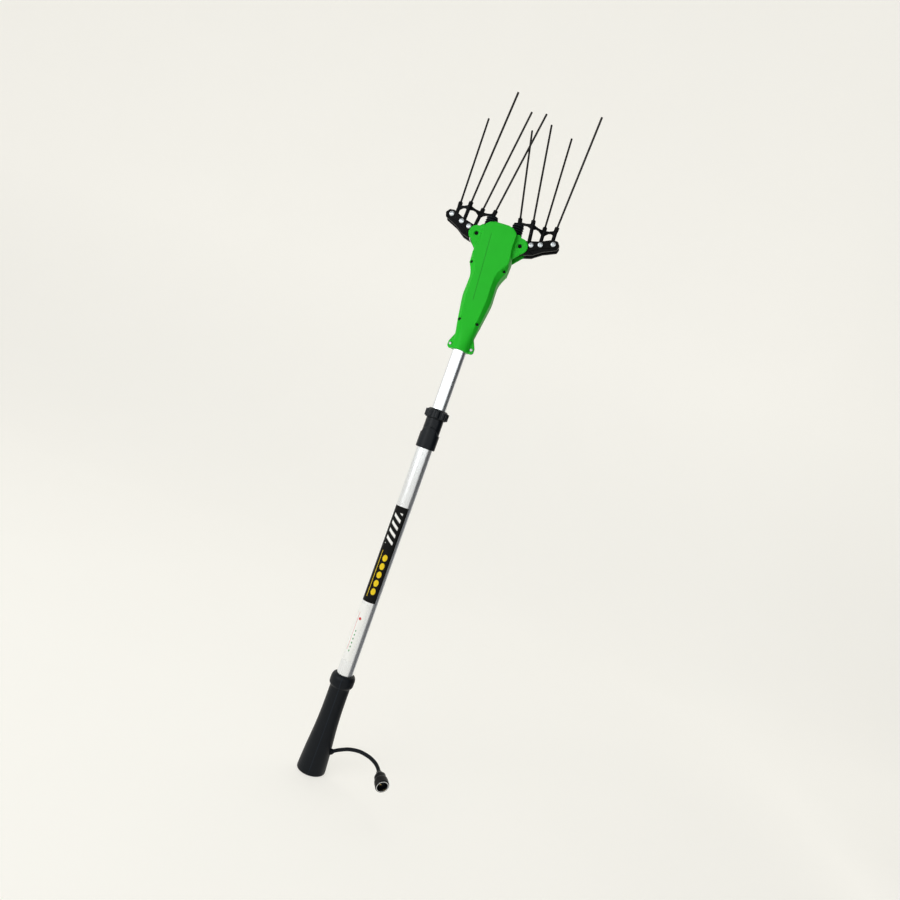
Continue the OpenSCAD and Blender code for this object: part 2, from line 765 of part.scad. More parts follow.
module bevel_pinion() {
    root_r = (pinion_r - (tooth_root - 0.3) * cos(pinion_cone));
    s = (cone_len - face_w) / cone_len;
    drop = (tooth_root - 0.3) * sin(pinion_cone);
    heel = cone_len * cos(pinion_cone) + drop;
    color(brass) translate([0, 0, crank_z]) rotate([180, 0, 0]) difference() {
        union() {
            bevel_teeth(pinion_teeth, pinion_cone, gear_module * 0.8, tooth_root, 90 + 180 / pinion_teeth);
            translate([0, 0, heel * s]) cylinder(r1 = root_r * s, r2 = root_r, h = heel * (1 - s));
            translate([0, 0, heel]) cylinder(r = root_r, h = pinion_hub_h);
        }
        cylinder(r = shaft_d / 2 + fit / 2, h = 60);
    }
}

module crank_gear() {
    rim_in = gear_r - face_w - 2;
    back = cone_len * cos(gear_cone) + tooth_root * sin(gear_cone) + 2.6;
    color(steel) translate([0, 0, crank_z]) rotate([90, 0, 0]) difference() {
        union() {
            bevel_teeth(gear_teeth, gear_cone, gear_module * 0.62, tooth_root, -90);
            rotate_extrude() polygon([
                [0, -web_rear_y], [rim_in - 2, -web_rear_y], [rim_in, rim_in / 4 + tooth_root],
                [gear_r, gear_r / 4 + tooth_root - 0.35], [gear_r, back], [hub_r, back], [hub_r, -hub_front_y],
                [0, -hub_front_y]
            ]);
        }
        translate([0, 0, -web_front_y]) cylinder(r = bearing_d / 2 + fit / 2, h = 20);
        translate([crank_throw, 0, 0]) cylinder(r = crank_pin_d / 2 + fit / 2, h = 20);
    }
}

module crank_bearing() {
    color(steel) translate([0, 0, crank_z]) difference() {
        along_y(hub_front_y, web_front_y - gap, bearing_d / 2);
        along_y(hub_front_y - 1, 0, axle_d / 2 + fit);
        for (y = [hub_front_y - 0.5, web_front_y - gap - 0.4]) difference() {
            along_y(y, y + 0.9, bearing_d / 2 - 1.4);
            along_y(y - 1, y + 2, axle_d / 2 + 1.4);
        }
    }
}

module crank_axle() {
    color(steel) translate([0, 0, crank_z]) along_y(2 - head_front + gap, web_front_y - gap, axle_d / 2);
}

pin_rear_y = hand_y + lever_y1 + 1;

module crank_pin() {
    color(steel) translate([crank_throw, 0, crank_z]) {
        along_y(web_front_y + 0.1, pin_rear_y, crank_pin_d / 2);
        along_y(pin_rear_y, pin_rear_y + 1.2, crank_pin_d / 2 + 0.8);
    }
}

module crank_roller() {
    color(brass) translate([crank_throw, 0, crank_z]) difference() {
        along_y(hand_y - lever_y1 - 0.8, pin_rear_y - 0.1, roller_d / 2);
        along_y(-30, 30, crank_pin_d / 2 + fit);
    }
}

module pivot_pins() {
    color(steel) both_sides() translate([pivot_x, 0, pivot_z]) difference() {
        along_y(ear_front + 0.2, ear_rear + ear_t - 0.8, pin_d / 2);
        for (a = [0, 90]) rotate([0, a, 0]) translate([-2.4, ear_front - 0.8, -0.5]) cube([4.8, 2.2, 1]);
    }
}

// Bellows

module bellows(side) {
    z0 = roof_h + 0.1;
    z1 = head_z - head_h - web_h + 0.9;
    foot = 3;
    pitch = (z1 - z0 - foot - 2) / bellows_ribs;
    inner_r = post_d / 2 + gap;
    outer = [
        for (k = [0 : bellows_ribs - 1]) let (
            r = mix(bellows_foot_r, bellows_top_r + 1.5, (k + 0.5) / bellows_ribs), z = z0 + foot + k * pitch
        )
        each [[r - 2.6, z], [r, z + pitch * 0.5]]
    ];
    top = [[bellows_top_r - 1, z1 - 2], [bellows_top_r, z1 - 1.2], [bellows_top_r - 0.8, z1]];
    wall = reversed([for (p = outer) [max(inner_r, p.x - bellows_wall), p.y]]);
    color(rubber) at_hand(side) translate([post_foot_x[0], 0, 0]) rotate_extrude() polygon(concat(
        [[bellows_foot_r - 3.4, z0], [bellows_foot_r, z0], [bellows_foot_r, z0 + foot - 0.8]], outer, top,
        [[inner_r, z1], [inner_r, z1 - 2.4]], wall, [[bellows_foot_r - 3.4, z0 + foot - 0.8]]
    ));
}

module left_bellows() { bellows(-1); }
module right_bellows() { bellows(1); }

// Hands

module lever(side) {
    top = -crank_drop + slot_half + lever_wall;
    low = -crank_drop - slot_half - lever_wall;
    end_x = -pivot_x - slot_reach - slot_half - lever_wall - 0.5;
    color(black) at_hand(side) difference() {
        union() {
            along_y(-hub_t / 2, hub_t / 2, 11);
            plate_y(lever_y0, lever_y1, [
                [-2, 10.5], [-20, -3], [-31, top], [end_x, top], [end_x, low], [-28, low], [-5, -9.5]
            ]);
            plate_y(-tongue_t / 2, tongue_t / 2, [[2, 9], [58, 28], [65, 25], [64, 18], [4, -7]]);
            plate_y(-tongue_t / 2, tongue_t / 2, [[0, 8], [-16, 4], [-21, -2], [-17, -7], [0, -9]]);
            translate([post_foot_x[0], 0, -5]) cylinder(r = horn_r, h = horn_top + 5);
        }
        along_y(-20, 20, pin_d / 2 + 1.6 + fit / 2);
        for (b = bolt_at) translate([b.x, 0, b.y]) along_y(-20, 20, bolt_d / 2 + fit);
        translate([-pivot_x - slot_reach, -10, -crank_drop - slot_half]) cube([2 * slot_reach, 20, 2 * slot_half]);
        for (s = [-1, 1]) translate([-pivot_x + s * slot_reach, 0, -crank_drop]) along_y(-10, 10, slot_half);
    }
}

module bush(side) {
    color(brass) at_hand(side) difference() {
        along_y(-hub_t / 2 - 0.1, hub_t / 2 + 0.1, pin_d / 2 + 1.6);
        along_y(-20, 20, pin_d / 2 + fit);
    }
}

// A cheek on the front or rear of the tongue, as seen from outside the tool
module cheek(side, front) {
    y_in = tongue_t / 2 + fit / 2;
    out = front * side > 0 ? -1 : 1;
    y0 = out < 0 ? -y_in - cheek_t : y_in;
    color(black) at_hand(side) difference() {
        plate_y(y0, y0 + cheek_t, cheek_outline);
        along_y(-30, 30, cheek_in);
        for (b = bolt_at) translate([b.x, 0, b.y]) along_y(-30, 30, bolt_d / 2 + fit);
        face_y = out < 0 ? y0 - 1 : y0 + cheek_t - 1.2;
        plate_y(face_y, face_y + 2.2, [[20, -3], [42, 10], [63, 17], [69, 15], [44, 4], [27, -8]]);
    }
}

module bolts(side) {
    half = tongue_t / 2 + cheek_t + fit;
    color(steel) at_hand(side) for (b = bolt_at) translate([b.x, 0, b.y]) mirror([0, side > 0 ? 0 : 1, 0])
        difference() {
            union() {
                along_y(-half - 2.6, -half, 5);
                along_y(-half - 0.1, half + 4.4, bolt_d / 2);
            }
            for (a = [45, 135]) rotate([0, a, 0]) translate([-2.8, -half - 3, -0.6]) cube([5.6, 1.8, 1.2]);
        }
}

module bolt_nuts(side) {
    half = tongue_t / 2 + cheek_t + fit;
    color(steel) at_hand(side) for (b = bolt_at) translate([b.x, 0, b.y]) mirror([0, side > 0 ? 0 : 1, 0])
        difference() {
            translate([0, half + 0.05, 0]) rotate([-90, 0, 0]) cylinder(r = 4.6, h = 3.2, $fn = 6);
            along_y(0, 40, bolt_d / 2 + fit);
        }
}

function tine_dir(side, i) =
    let (
        out = side > 0 ? right_out_lean[i] : left_out_lean[i],
        back = side > 0 ? right_back_lean[i] : left_back_lean[i],
        v = [tan(out), tan(back), 1]
    )
    v / norm(v);

function head_foot(i) = [post_head_x[i], post_y[i], head_z - head_h];
function head_top(side, i) = head_foot(i) + tine_dir(side, i) * head_h;
function post_low(i) = [post_foot_x[i], post_y[i], i == 0 ? horn_top - 1 : 14];

// Arched web from one post to the next, with its own depth where it starts
module web(a, b, start) {
    run = norm([b.x - a.x, b.y - a.y]);
    translate(a + [0, 0, 1.1]) rotate(atan2(b.y - a.y, b.x - a.x)) plate_y(-web_t / 2, web_t / 2, [
        [0, 0], [0.3 * run, -1.2], [0.5 * run, -1.6], [0.7 * run, -1.2], [run, 0], [run, -2 * web_h],
        [0.8 * run, -web_h - 2], [0.6 * run, -web_h], [0.4 * run, -web_h], [0.2 * run, -(web_h + start) / 2],
        [0, -start]
    ]);
}

module comb(side) {
    color(black) at_hand(side) difference() {
        union() {
            for (i = [0 : 3]) {
                rod(post_low(i), head_foot(i) + [0, 0, 1.5], post_d / 2);
                rod(head_foot(i), head_top(side, i), head_d / 2);
            }
            for (i = [0 : 2]) web(head_foot(i), head_foot(i + 1), i == 0 ? web_h - 0.5 : 2 * web_h);
        }
        for (i = [0 : 3]) translate(head_top(side, i)) facing(tine_dir(side, i))
            translate([0, 0, -tine_in]) cylinder(r = tine_d / 2 + fit / 2, h = tine_in + 5);
        plate_y(-30, 30, cheek_outline);
        translate([post_foot_x[0] - 9, -20, -20]) cube([18, 40, 20 + horn_top + fit]);
    }
}

module tine(side, i) {
    a = head_top(side, i) - tine_dir(side, i) * (tine_in - 0.1);
    color(black) at_hand(side) translate(a) facing(tine_dir(side, i)) {
        cylinder(r = tine_d / 2, h = tine_len + tine_in - 3);
        translate([0, 0, tine_len + tine_in - 3]) cylinder(r1 = tine_d / 2, r2 = tine_d / 4, h = 3);
    }
}

module left_lever() { lever(-1); }
module right_lever() { lever(1); }
module left_bush() { bush(-1); }
module right_bush() { bush(1); }
module left_cheek_front() { cheek(-1, 1); }
module left_cheek_rear() { cheek(-1, -1); }
module right_cheek_front() { cheek(1, 1); }
module right_cheek_rear() { cheek(1, -1); }
module left_bolts() { bolts(-1); }
module right_bolts() { bolts(1); }
module left_bolt_nuts() { bolt_nuts(-1); }
module right_bolt_nuts() { bolt_nuts(1); }
module left_comb() { comb(-1); }
module right_comb() { comb(1); }

grip();
lower_tube();
cable_gland();
pigtail_lead();
connector_body();
connector_ring();
connector_insert();
connector_contacts();
clamp_sleeve();
clamp_collet();
lock_ring();
upper_tube();
slide_bush();
inner_lead();
front_shell();
rear_shell();
shell_screws();
lug_screws();
lug_nuts();
motor_can();
motor_end_cap();
motor_plate();
plate_screws();
motor_shaft();
bevel_pinion();
crank_gear();
crank_bearing();
crank_axle();
crank_pin();
crank_roller();
pivot_pins();
left_bellows();
right_bellows();
left_lever();
left_bush();
left_cheek_front();
left_cheek_rear();
left_bolts();
left_bolt_nuts();
left_comb();
tine(-1, 0);  // left_tine_1
tine(-1, 1);  // left_tine_2
tine(-1, 2);  // left_tine_3
tine(-1, 3);  // left_tine_4
right_lever();
right_bush();
right_cheek_front();
right_cheek_rear();
right_bolts();
right_bolt_nuts();
right_comb();
tine(1, 0);  // right_tine_1
tine(1, 1);  // right_tine_2
tine(1, 2);  // right_tine_3
tine(1, 3);  // right_tine_4
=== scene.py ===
import math

import bmesh
import bpy
from mathutils import Matrix, Vector


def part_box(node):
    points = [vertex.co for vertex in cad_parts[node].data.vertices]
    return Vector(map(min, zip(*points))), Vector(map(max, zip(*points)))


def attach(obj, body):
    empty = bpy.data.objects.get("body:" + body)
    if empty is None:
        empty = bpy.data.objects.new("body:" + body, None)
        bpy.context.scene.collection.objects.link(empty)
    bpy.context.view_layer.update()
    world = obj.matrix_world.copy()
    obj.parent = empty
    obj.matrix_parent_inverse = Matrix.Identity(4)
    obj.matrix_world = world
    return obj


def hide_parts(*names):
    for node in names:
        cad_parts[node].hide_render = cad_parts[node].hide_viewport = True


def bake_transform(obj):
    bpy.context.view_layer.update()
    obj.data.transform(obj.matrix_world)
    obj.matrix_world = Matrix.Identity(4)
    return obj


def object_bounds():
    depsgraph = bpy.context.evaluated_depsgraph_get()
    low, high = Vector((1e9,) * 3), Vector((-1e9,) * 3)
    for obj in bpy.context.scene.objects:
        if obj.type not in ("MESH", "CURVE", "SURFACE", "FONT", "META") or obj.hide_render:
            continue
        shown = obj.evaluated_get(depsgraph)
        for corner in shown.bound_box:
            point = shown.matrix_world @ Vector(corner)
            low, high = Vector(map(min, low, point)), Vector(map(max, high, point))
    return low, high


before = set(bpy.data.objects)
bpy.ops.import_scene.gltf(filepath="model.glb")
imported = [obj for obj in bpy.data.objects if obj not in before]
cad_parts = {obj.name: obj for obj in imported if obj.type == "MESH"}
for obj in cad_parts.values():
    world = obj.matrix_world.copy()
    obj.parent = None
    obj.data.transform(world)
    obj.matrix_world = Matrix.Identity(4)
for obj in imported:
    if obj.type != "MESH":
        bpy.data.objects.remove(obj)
cad_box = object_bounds()

bl_info = {
    "name": "Electric olive harvester",
    "version": (1, 0, 0),
    "blender": (4, 5, 0),
    "location": "View3D > Sidebar > Harvester",
    "description": "Builds the looks of a telescopic electric olive harvester on its CAD frame",
    "category": "Add Mesh",
}

MM = 0.001
SIDES = ("left", "right")
LOWER_TUBE_R = 16.0 * MM
JOIN = 1e-6  # vertices of a CAD mesh closer than this are one
UV_MM = 100.0  # millimetres of label to one unit of its UV map
FLOOR_Z = cad_box[0][2] - 0.001
STUDIO = 16.0  # reach and height of the studio, in metres

# The lead's route, from its gland in the grip to the connector, in metres
LEAD_ROUTE = [
    (0.0295, -0.001, -0.049),
    (0.0375, -0.0035, -0.0425),
    (0.0465, -0.006, -0.0365),
    (0.0555, -0.0085, -0.031),
    (0.065, -0.012, -0.0265),
    (0.0745, -0.0155, -0.023),
    (0.084, -0.0195, -0.0205),
    (0.0935, -0.0245, -0.019),
    (0.103, -0.030, -0.018),
    (0.1115, -0.036, -0.018),
    (0.1195, -0.0435, -0.0185),
    (0.126, -0.0515, -0.020),
    (0.131, -0.0605, -0.022),
]

# The front shell's sections, in millimetres: level, half width, depth, squareness of the oval,
# and the flat face's share of the width
FRONT_SECTIONS = [
    (762.3, 18.8, 18.8, 2.0, 0.72),
    (775.95, 19.0, 19.0, 2.0, 0.72),
    (793.8, 19.5, 19.5, 2.6, 0.7),
    (814.8, 22.5, 21.5, 3.6, 0.7),
    (833.7, 25.0, 23.5, 4.2, 0.71),
    (855.75, 28.0, 26.0, 4.6, 0.71),
    (869.4, 29.0, 26.5, 4.8, 0.71),
    (901.3, 28.0, 26.0, 4.4, 0.71),
    (916.3, 32.0, 25.5, 2.9, 0.65),
    (928.3, 37.5, 25.2, 3.0, 0.68),
    (942.3, 38.5, 25.0, 5.5, 0.92),
    (955.3, 38.5, 25.0, 6.0, 0.93),
    (970.3, 35.5, 25.0, 6.0, 0.93),
    (1001.3, 35.0, 25.0, 6.0, 0.93),
]


# Shader maths


class Field:
    """A shader socket that takes part in arithmetic."""

    def __init__(self, paint, socket):
        self.paint = paint
        self.socket = socket

    def maths(self, operation, first, second=0.0):
        return self.paint.node("ShaderNodeMath", {"operation": operation}, {0: first, 1: second})

    def __add__(self, other):
        return self.maths("ADD", self, other)

    def __radd__(self, other):
        return self.maths("ADD", other, self)

    def __sub__(self, other):
        return self.maths("SUBTRACT", self, other)

    def __mul__(self, other):
        return self.maths("MULTIPLY", self, other)

    def __truediv__(self, other):
        return self.maths("DIVIDE", self, other)

    def __pow__(self, other):
        return self.maths("POWER", self, other)

    def __abs__(self):
        return self.maths("ABSOLUTE", self)

    def part(self):
        return self.maths("FRACT", self)

    def ramp(self, low, high):
        """0 below low, 1 above high, smooth between; low may be the larger."""
        return self.paint.node(
            "ShaderNodeMapRange",
            {"interpolation_type": "SMOOTHSTEP"},
            {"Value": self, "From Min": low, "From Max": high},
        )

    def within(self, low, high, soft):
        return self.ramp(low - soft, low + soft) * self.ramp(high + soft, high - soft)


class Paint:
    """A procedural material; constants go straight to the shader's sockets."""

    def __init__(self, name, constants):
        self.material = bpy.data.materials.new(name)
        self.material.use_nodes = True
        self.tree = self.material.node_tree
        self.shader = self.tree.nodes["Principled BSDF"]
        for key, value in constants.items():
            self.feed(self.shader.inputs[key], value)
        colour = constants.get("Base Color")
        if colour is not None:
            self.material.diffuse_color = colour

    def feed(self, socket, value):
        if isinstance(value, Field):
            self.tree.links.new(value.socket, socket)
        else:
            socket.default_value = value

    def node(self, kind, settings=None, values=None, out=0):
        made = self.tree.nodes.new(kind)
        for key, value in (settings or {}).items():
            setattr(made, key, value)
        for key, value in (values or {}).items():
            self.feed(made.inputs[key], value)
        return Field(self, made.outputs[out])

    def place(self):
        return self.node("ShaderNodeTexCoord", out="Object")

    def axes(self, vector):
        return [self.node("ShaderNodeSeparateXYZ", values={0: vector}, out=k) for k in range(3)]

    def noise(self, scale, detail=2.0, stretch=(1, 1, 1)):
        where = self.node("ShaderNodeMapping", values={"Vector": self.place(), "Scale": stretch})
        return self.node("ShaderNodeTexNoise", values={"Vector": where, "Scale": scale, "Detail": detail})

    def mix(self, share, first, second):
        return self.node("ShaderNodeMix", {"data_type": "RGBA"}, {0: share, 6: first, 7: second}, out=2)

    def set(self, key, value):
        self.feed(self.shader.inputs[key], value)

    def bump(self, height, strength, distance):
        values = {"Height": height, "Strength": strength, "Distance": distance}
        self.set("Normal", self.node("ShaderNodeBump", values=values))


def shade(colour, factor):
    return tuple(min(1.0, c * factor) for c in colour[:3]) + (1.0,)


def moulded(name, colour, rough, grain, depth, spread=0.12, shine=0.14):
    """Plastic or rubber with a fine grain and slightly uneven gloss."""
    cloud_scale, gloss_spread, strength = 38.0, 0.12, 0.35
    paint = Paint(name, {"Base Color": colour, "Specular IOR Level": shine})
    cloud = paint.noise(cloud_scale, 3.0)
    paint.tone = paint.mix(cloud, shade(colour, 1 - spread), shade(colour, 1 + spread))
    paint.set("Base Color", paint.tone)
    paint.set("Roughness", rough + (cloud - 0.5) * gloss_spread)
    paint.bump(paint.noise(grain), strength, depth)
    return paint


def metal(name, colour, rough, stretch=(1, 1, 1), grain=900.0, streak=0.1):
    """Bare or plated metal, with streaks along the direction of least stretch."""
    gloss_spread, strength, depth = 0.16, 0.12, 0.00004
    paint = Paint(name, {"Base Color": colour, "Metallic": 1.0})
    lines = paint.noise(grain, stretch=stretch)
    paint.set("Base Color", paint.mix(lines, shade(colour, 1 - streak), shade(colour, 1 + streak)))
    paint.set("Roughness", rough + (lines - 0.5) * gloss_spread)
    paint.bump(lines, strength, depth)
    return paint


def green_shell_paint(look):
    """Glossy moulded green with the faint lengthwise crease on the flat front, a groove darkened with
    painted shade.
    """
    grain = 1500.0
    line_foot, line_top, line_x, line_lean = 0.8586, 0.9905, -0.0041, -0.0097
    paint = moulded("green_plastic", tuple(look.green), 0.38, grain, 0.00002, 0.05, 0.09)
    x, y, z = paint.axes(paint.place())
    rise = (z - line_foot) / (line_top - line_foot)
    off_line = abs(x - (rise * line_lean + line_x))
    front = y.ramp(-0.019, -0.022) * z.within(line_foot, line_top, 0.003)
    crease_and_shade = off_line.ramp(0.0008, 0.0002) * front
    # Painted shade: the crease's line is painted a darker green, standing in for the shade in its groove;
    # the bump below sinks the groove itself.
    paint.set("Base Color", paint.mix(crease_and_shade * 0.75, paint.tone, shade(look.green, 0.25)))
    paint.bump(paint.noise(grain) * 0.1 - crease_and_shade, 0.3, 0.00016)
    return paint


def label_paint(name, base, first, second, motif):
    """Printed film; motif gives the two inks' masks from millimetres across and up the label."""
    paint = Paint(name, {"Base Color": base, "Roughness": 0.34, "Specular IOR Level": 0.1})
    u, v, _ = paint.axes(paint.node("ShaderNodeTexCoord", out="UV"))
    one, two = motif(u * UV_MM, v * UV_MM)
    paint.set("Base Color", paint.mix(two, paint.mix(one, base, first), second))
    paint.set("Roughness", 0.3 + paint.noise(60.0) * 0.1)
    return paint


def fruit_motif(u, v):
    """A row of ovals on a stem, and slanted bars above it."""
    edge, row_foot, pitch, bar_pitch = 0.2, 14.0, 17.0, 15.0
    step = ((v - row_foot) / pitch).part() - 0.5
    oval = ((u - 3.5) / 4.6) ** 2 + (step * pitch / 6.6) ** 2
    fruit = oval.ramp(1.08, 0.92) * v.within(row_foot, 99.0, edge)
    stem = u.within(-6.6, -5.6, 0.15) * v.within(10.0, 104.0, edge)
    bar = ((v + u * 0.7) / bar_pitch).part().within(0.2, 0.62, 0.02)
    bars = bar * u.within(-8.0, 8.0, edge) * v.within(118.0, 182.0, edge)
    return (fruit + stem).ramp(0.4, 0.6), bars


def dash_motif(u, v):
    """A column of short dashes and a disc above a fine line."""
    edge, pitch = 0.2, 8.0
    dash = (v / pitch).part().within(0.2, 0.6, 0.04) * u.within(0.5, 2.6, edge) * v.within(16.0, 64.0, edge)
    disc = ((u - 1.5) ** 2 + (v - 84.0) ** 2).ramp(8.0, 6.4)
    line = u.within(-4.2, -3.5, 0.15) * v.within(20.0, 96.0, edge)
    return dash, (disc + line).ramp(0.4, 0.6)


# Meshes


def plain(name, mesh):
    made = bpy.data.objects.new(name, mesh)
    mesh.name = name
    bpy.context.scene.collection.objects.link(made)
    return made


def soft_faces(made, angle=38.0):
    made.data.polygons.foreach_set("use_smooth", [True] * len(made.data.polygons))
    made.data.set_sharp_from_angle(angle=math.radians(angle))
    return made


def baked(made, name):
    """The evaluated shape as a plain mesh; the object it came from goes."""
    graph = bpy.context.evaluated_depsgraph_get()
    mesh = bpy.data.meshes.new_from_object(made.evaluated_get(graph), depsgraph=graph)
    bpy.data.objects.remove(made)
    return plain(name, mesh)


def from_bmesh(name, mesh):
    """A linked object with the shape of a bmesh, which is freed."""
    data = bpy.data.meshes.new(name)
    mesh.to_mesh(data)
    mesh.free()
    return plain(name, data)


def joined(node):
    """A bmesh of a CAD node with its split edges joined."""
    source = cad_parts[node]
    mesh = bmesh.new()
    mesh.from_mesh(source.data)
    mesh.transform(source.matrix_world)
    bmesh.ops.remove_doubles(mesh, verts=mesh.verts, dist=JOIN)
    return mesh


def merged_copy(name, node):
    return from_bmesh(name, joined(node))


def softened(name, node, voxel, rounds):
    """A CAD node with its edges rounded as a mould leaves them."""
    made = merged_copy(name, node)
    remesh = made.modifiers.new("remesh", "REMESH")
    remesh.mode = "VOXEL"
    remesh.voxel_size = voxel * 1.0
    relax = made.modifiers.new("relax", "SMOOTH")
    relax.factor = 0.5
    relax.iterations = rounds
    made = baked(made, name)
    made.data.polygons.foreach_set("use_smooth", [True] * len(made.data.polygons))
    return made


def ease(value, low, high):
    """0 below low, 1 above high, smooth between."""
    share = min(1.0, max(0.0, (value - low) / (high - low)))
    return share * share * (3 - 2 * share)


def section_at(level):
    """The front shell's half width, depth, squareness and flat share at a level, as the CAD runs them."""
    rows, last = FRONT_SECTIONS, len(FRONT_SECTIONS) - 1
    level = min(max(level, rows[0][0]), rows[last][0])
    i = next(k for k in range(last) if level <= rows[k + 1][0])
    h = rows[i + 1][0] - rows[i][0]
    t = (level - rows[i][0]) / h

    def slope(j, k):
        if j in (0, last):
            return 0.0
        return (rows[j + 1][k] - rows[j - 1][k]) / (rows[j + 1][0] - rows[j - 1][0])

    return [
        (2 * t**3 - 3 * t**2 + 1) * rows[i][k]
        + (t**3 - 2 * t**2 + t) * h * slope(i, k)
        + (3 * t**2 - 2 * t**3) * rows[i + 1][k]
        + (t**3 - t**2) * h * slope(i + 1, k)
        for k in range(1, 5)
    ]


def crisp_front(made):
    """Gives the front shell its flat face with clear edges and sloping flanks."""
    flank_foot, edge_round = 0.6, 0.02
    front_from, rim, rim_fade = 5.0, 0.995, 0.96
    wall_inside, wall_outside = 0.7, 0.84
    neck_z, body_z = 790.0, 830.0
    for vert in made.data.vertices:
        x, y, z = abs(vert.co.x) / MM, -vert.co.y / MM, vert.co.z / MM
        if y < front_from:
            continue
        wide, deep, square, flat = section_at(z)
        across = x / wide
        if across > rim:
            continue
        oval = (1 - across**square) ** (1 / square)
        flank = 1 - (1 - flank_foot) * (across - flat) / (1 - flat)
        bend = max(0.0, 1 - abs(flank - 1) / edge_round)
        face = min(1.0, flank) - edge_round * bend * bend / 4
        near = ease(y / (deep * oval), wall_inside, wall_outside)
        near *= ease(across, rim, rim_fade) * ease(z, neck_z, body_z)
        # What stands proud of the oval, such as a screw boss, ends flush with the new face
        proud = y - deep * oval
        if proud > 0:
            moved = deep * face + max(0.0, proud - max(0.0, deep * (face - oval)))
        else:
            moved = y * face / oval
        vert.co.y = -MM * (y + near * (moved - y))


def level_ears(made):
    """Takes the inner corners of the shells' ears down to the crest's shoulders."""
    inner_end, crest_back, top, dip, left_over = 28.0, -17.0, 1006.5, 2.5, 0.1
    for vert in made.data.vertices:
        x, y, z = abs(vert.co.x) / MM, vert.co.y / MM, vert.co.z / MM
        cap = top - dip * ease(x, inner_end + 10.0, inner_end + 2.0)
        if x > inner_end and y > crest_back and z > cap:
            vert.co.z = MM * (cap + left_over * (z - cap))


def turned(name, profile, segments=72, closed=True):
    """A mesh of revolution about Z from (radius, height) points; a closed profile runs anticlockwise."""
    mesh = bmesh.new()
    angles = [2 * math.pi * k / segments for k in range(segments)]
    rings = [
        [mesh.verts.new((0, 0, z))]
        if r < JOIN
        else [mesh.verts.new((r * math.cos(a), r * math.sin(a), z)) for a in angles]
        for r, z in profile
    ]
    for low, high in zip(rings, rings[1:] + rings[:1] if closed else rings[1:]):
        for k in range(segments):
            n = (k + 1) % segments
            if len(low) == 1 and len(high) == 1:
                continue
            if len(low) == 1:
                mesh.faces.new((low[0], high[n], high[k]))
            elif len(high) == 1:
                mesh.faces.new((low[k], low[n], high[0]))
            else:
                mesh.faces.new((low[k], low[n], high[n], high[k]))
    bmesh.ops.recalc_face_normals(mesh, faces=mesh.faces)
    return from_bmesh(name, mesh)


def solids(node):
    """The vertices of each separate solid of a CAD node, in metres."""
    mesh = joined(node)
    found, seen = [], set()
    for start in mesh.verts:
        if start in seen:
            continue
        seen.add(start)
        pending, group = [start], []
        while pending:
            vert = pending.pop()
            group.append(vert.co.copy())
            for edge in vert.link_edges:
                other = edge.other_vert(vert)
                if other not in seen:
                    seen.add(other)
                    pending.append(other)
        found.append(group)
    mesh.free()
    return found


def span(points):
    return (
        Vector(min(p[k] for p in points) for k in range(3)),
        Vector(max(p[k] for p in points) for k in range(3)),
    )


def rod_ends(points):
    """The middles of a straight rod's two ends, lower first."""
    end_depth = 0.0012
    low = min(points, key=lambda p: p.z)
    high = max(points, key=lambda p: p.z)
    axis = (high - low).normalized()
    reach = [p.dot(axis) for p in points]
    ends = []
    for end in (min(reach), max(reach)):
        near = [p for p, t in zip(points, reach) if abs(t - end) < end_depth]
        ends.append(sum(near, Vector()) / len(near))
    return ends


def smooth_route(points, steps):
    """A smooth run through the points."""
    points = [Vector(p) for p in points]
    found = []
    for i in range(len(points) - 1):
        p0, p1 = points[max(i - 1, 0)], points[i]
        p2, p3 = points[i + 1], points[min(i + 2, len(points) - 1)]
        for s in range(steps):
            t = s / steps
            found.append(
                0.5
                * (
                    2 * p1
                    + (p2 - p0) * t
                    + (2 * p0 - 5 * p1 + 4 * p2 - p3) * t * t
                    + (3 * p1 - p0 - 3 * p2 + p3) * t**3
                )
            )
    found.append(points[-1])
    return found


# Node groups for what repeats or follows a path


def group_with(name, inputs):
    group = bpy.data.node_groups.new(name, "GeometryNodeTree")
    group.interface.new_socket("Geometry", in_out="INPUT", socket_type="NodeSocketGeometry")
    for label, kind in inputs:
        group.interface.new_socket(label, in_out="INPUT", socket_type=kind)
    group.interface.new_socket("Geometry", in_out="OUTPUT", socket_type="NodeSocketGeometry")
    return group, group.nodes.new("NodeGroupInput"), group.nodes.new("NodeGroupOutput")


def close_group(group, start, end, socket):
    realize = group.nodes.new("GeometryNodeRealizeInstances")
    paint = group.nodes.new("GeometryNodeSetMaterial")
    group.links.new(socket, realize.inputs["Geometry"])
    group.links.new(realize.outputs["Geometry"], paint.inputs["Geometry"])
    group.links.new(start.outputs["Material"], paint.inputs["Material"])
    group.links.new(paint.outputs["Geometry"], end.inputs["Geometry"])


def sweep_group():
    """A round bar along each spline."""
    group, start, end = group_with(
        "sweep_round_bar",
        [("Radius", "NodeSocketFloat"), ("Sides", "NodeSocketInt"), ("Material", "NodeSocketMaterial")],
    )
    ring = group.nodes.new("GeometryNodeCurvePrimitiveCircle")
    sweep = group.nodes.new("GeometryNodeCurveToMesh")
    group.links.new(start.outputs["Sides"], ring.inputs["Resolution"])
    group.links.new(start.outputs["Radius"], ring.inputs["Radius"])
    group.links.new(start.outputs["Geometry"], sweep.inputs["Curve"])
    group.links.new(ring.outputs["Curve"], sweep.inputs["Profile Curve"])
    sweep.inputs["Fill Caps"].default_value = True
    close_group(group, start, end, sweep.outputs["Mesh"])
    return group


def repeat_group():
    """One piece set at every point."""
    group, start, end = group_with(
        "repeat_piece", [("Piece", "NodeSocketObject"), ("Material", "NodeSocketMaterial")]
    )
    info = group.nodes.new("GeometryNodeObjectInfo")
    info.inputs["As Instance"].default_value = True
    spread = group.nodes.new("GeometryNodeInstanceOnPoints")
    group.links.new(start.outputs["Piece"], info.inputs["Object"])
    group.links.new(start.outputs["Geometry"], spread.inputs["Points"])
    group.links.new(info.outputs["Geometry"], spread.inputs["Instance"])
    close_group(group, start, end, spread.outputs["Instances"])
    return group


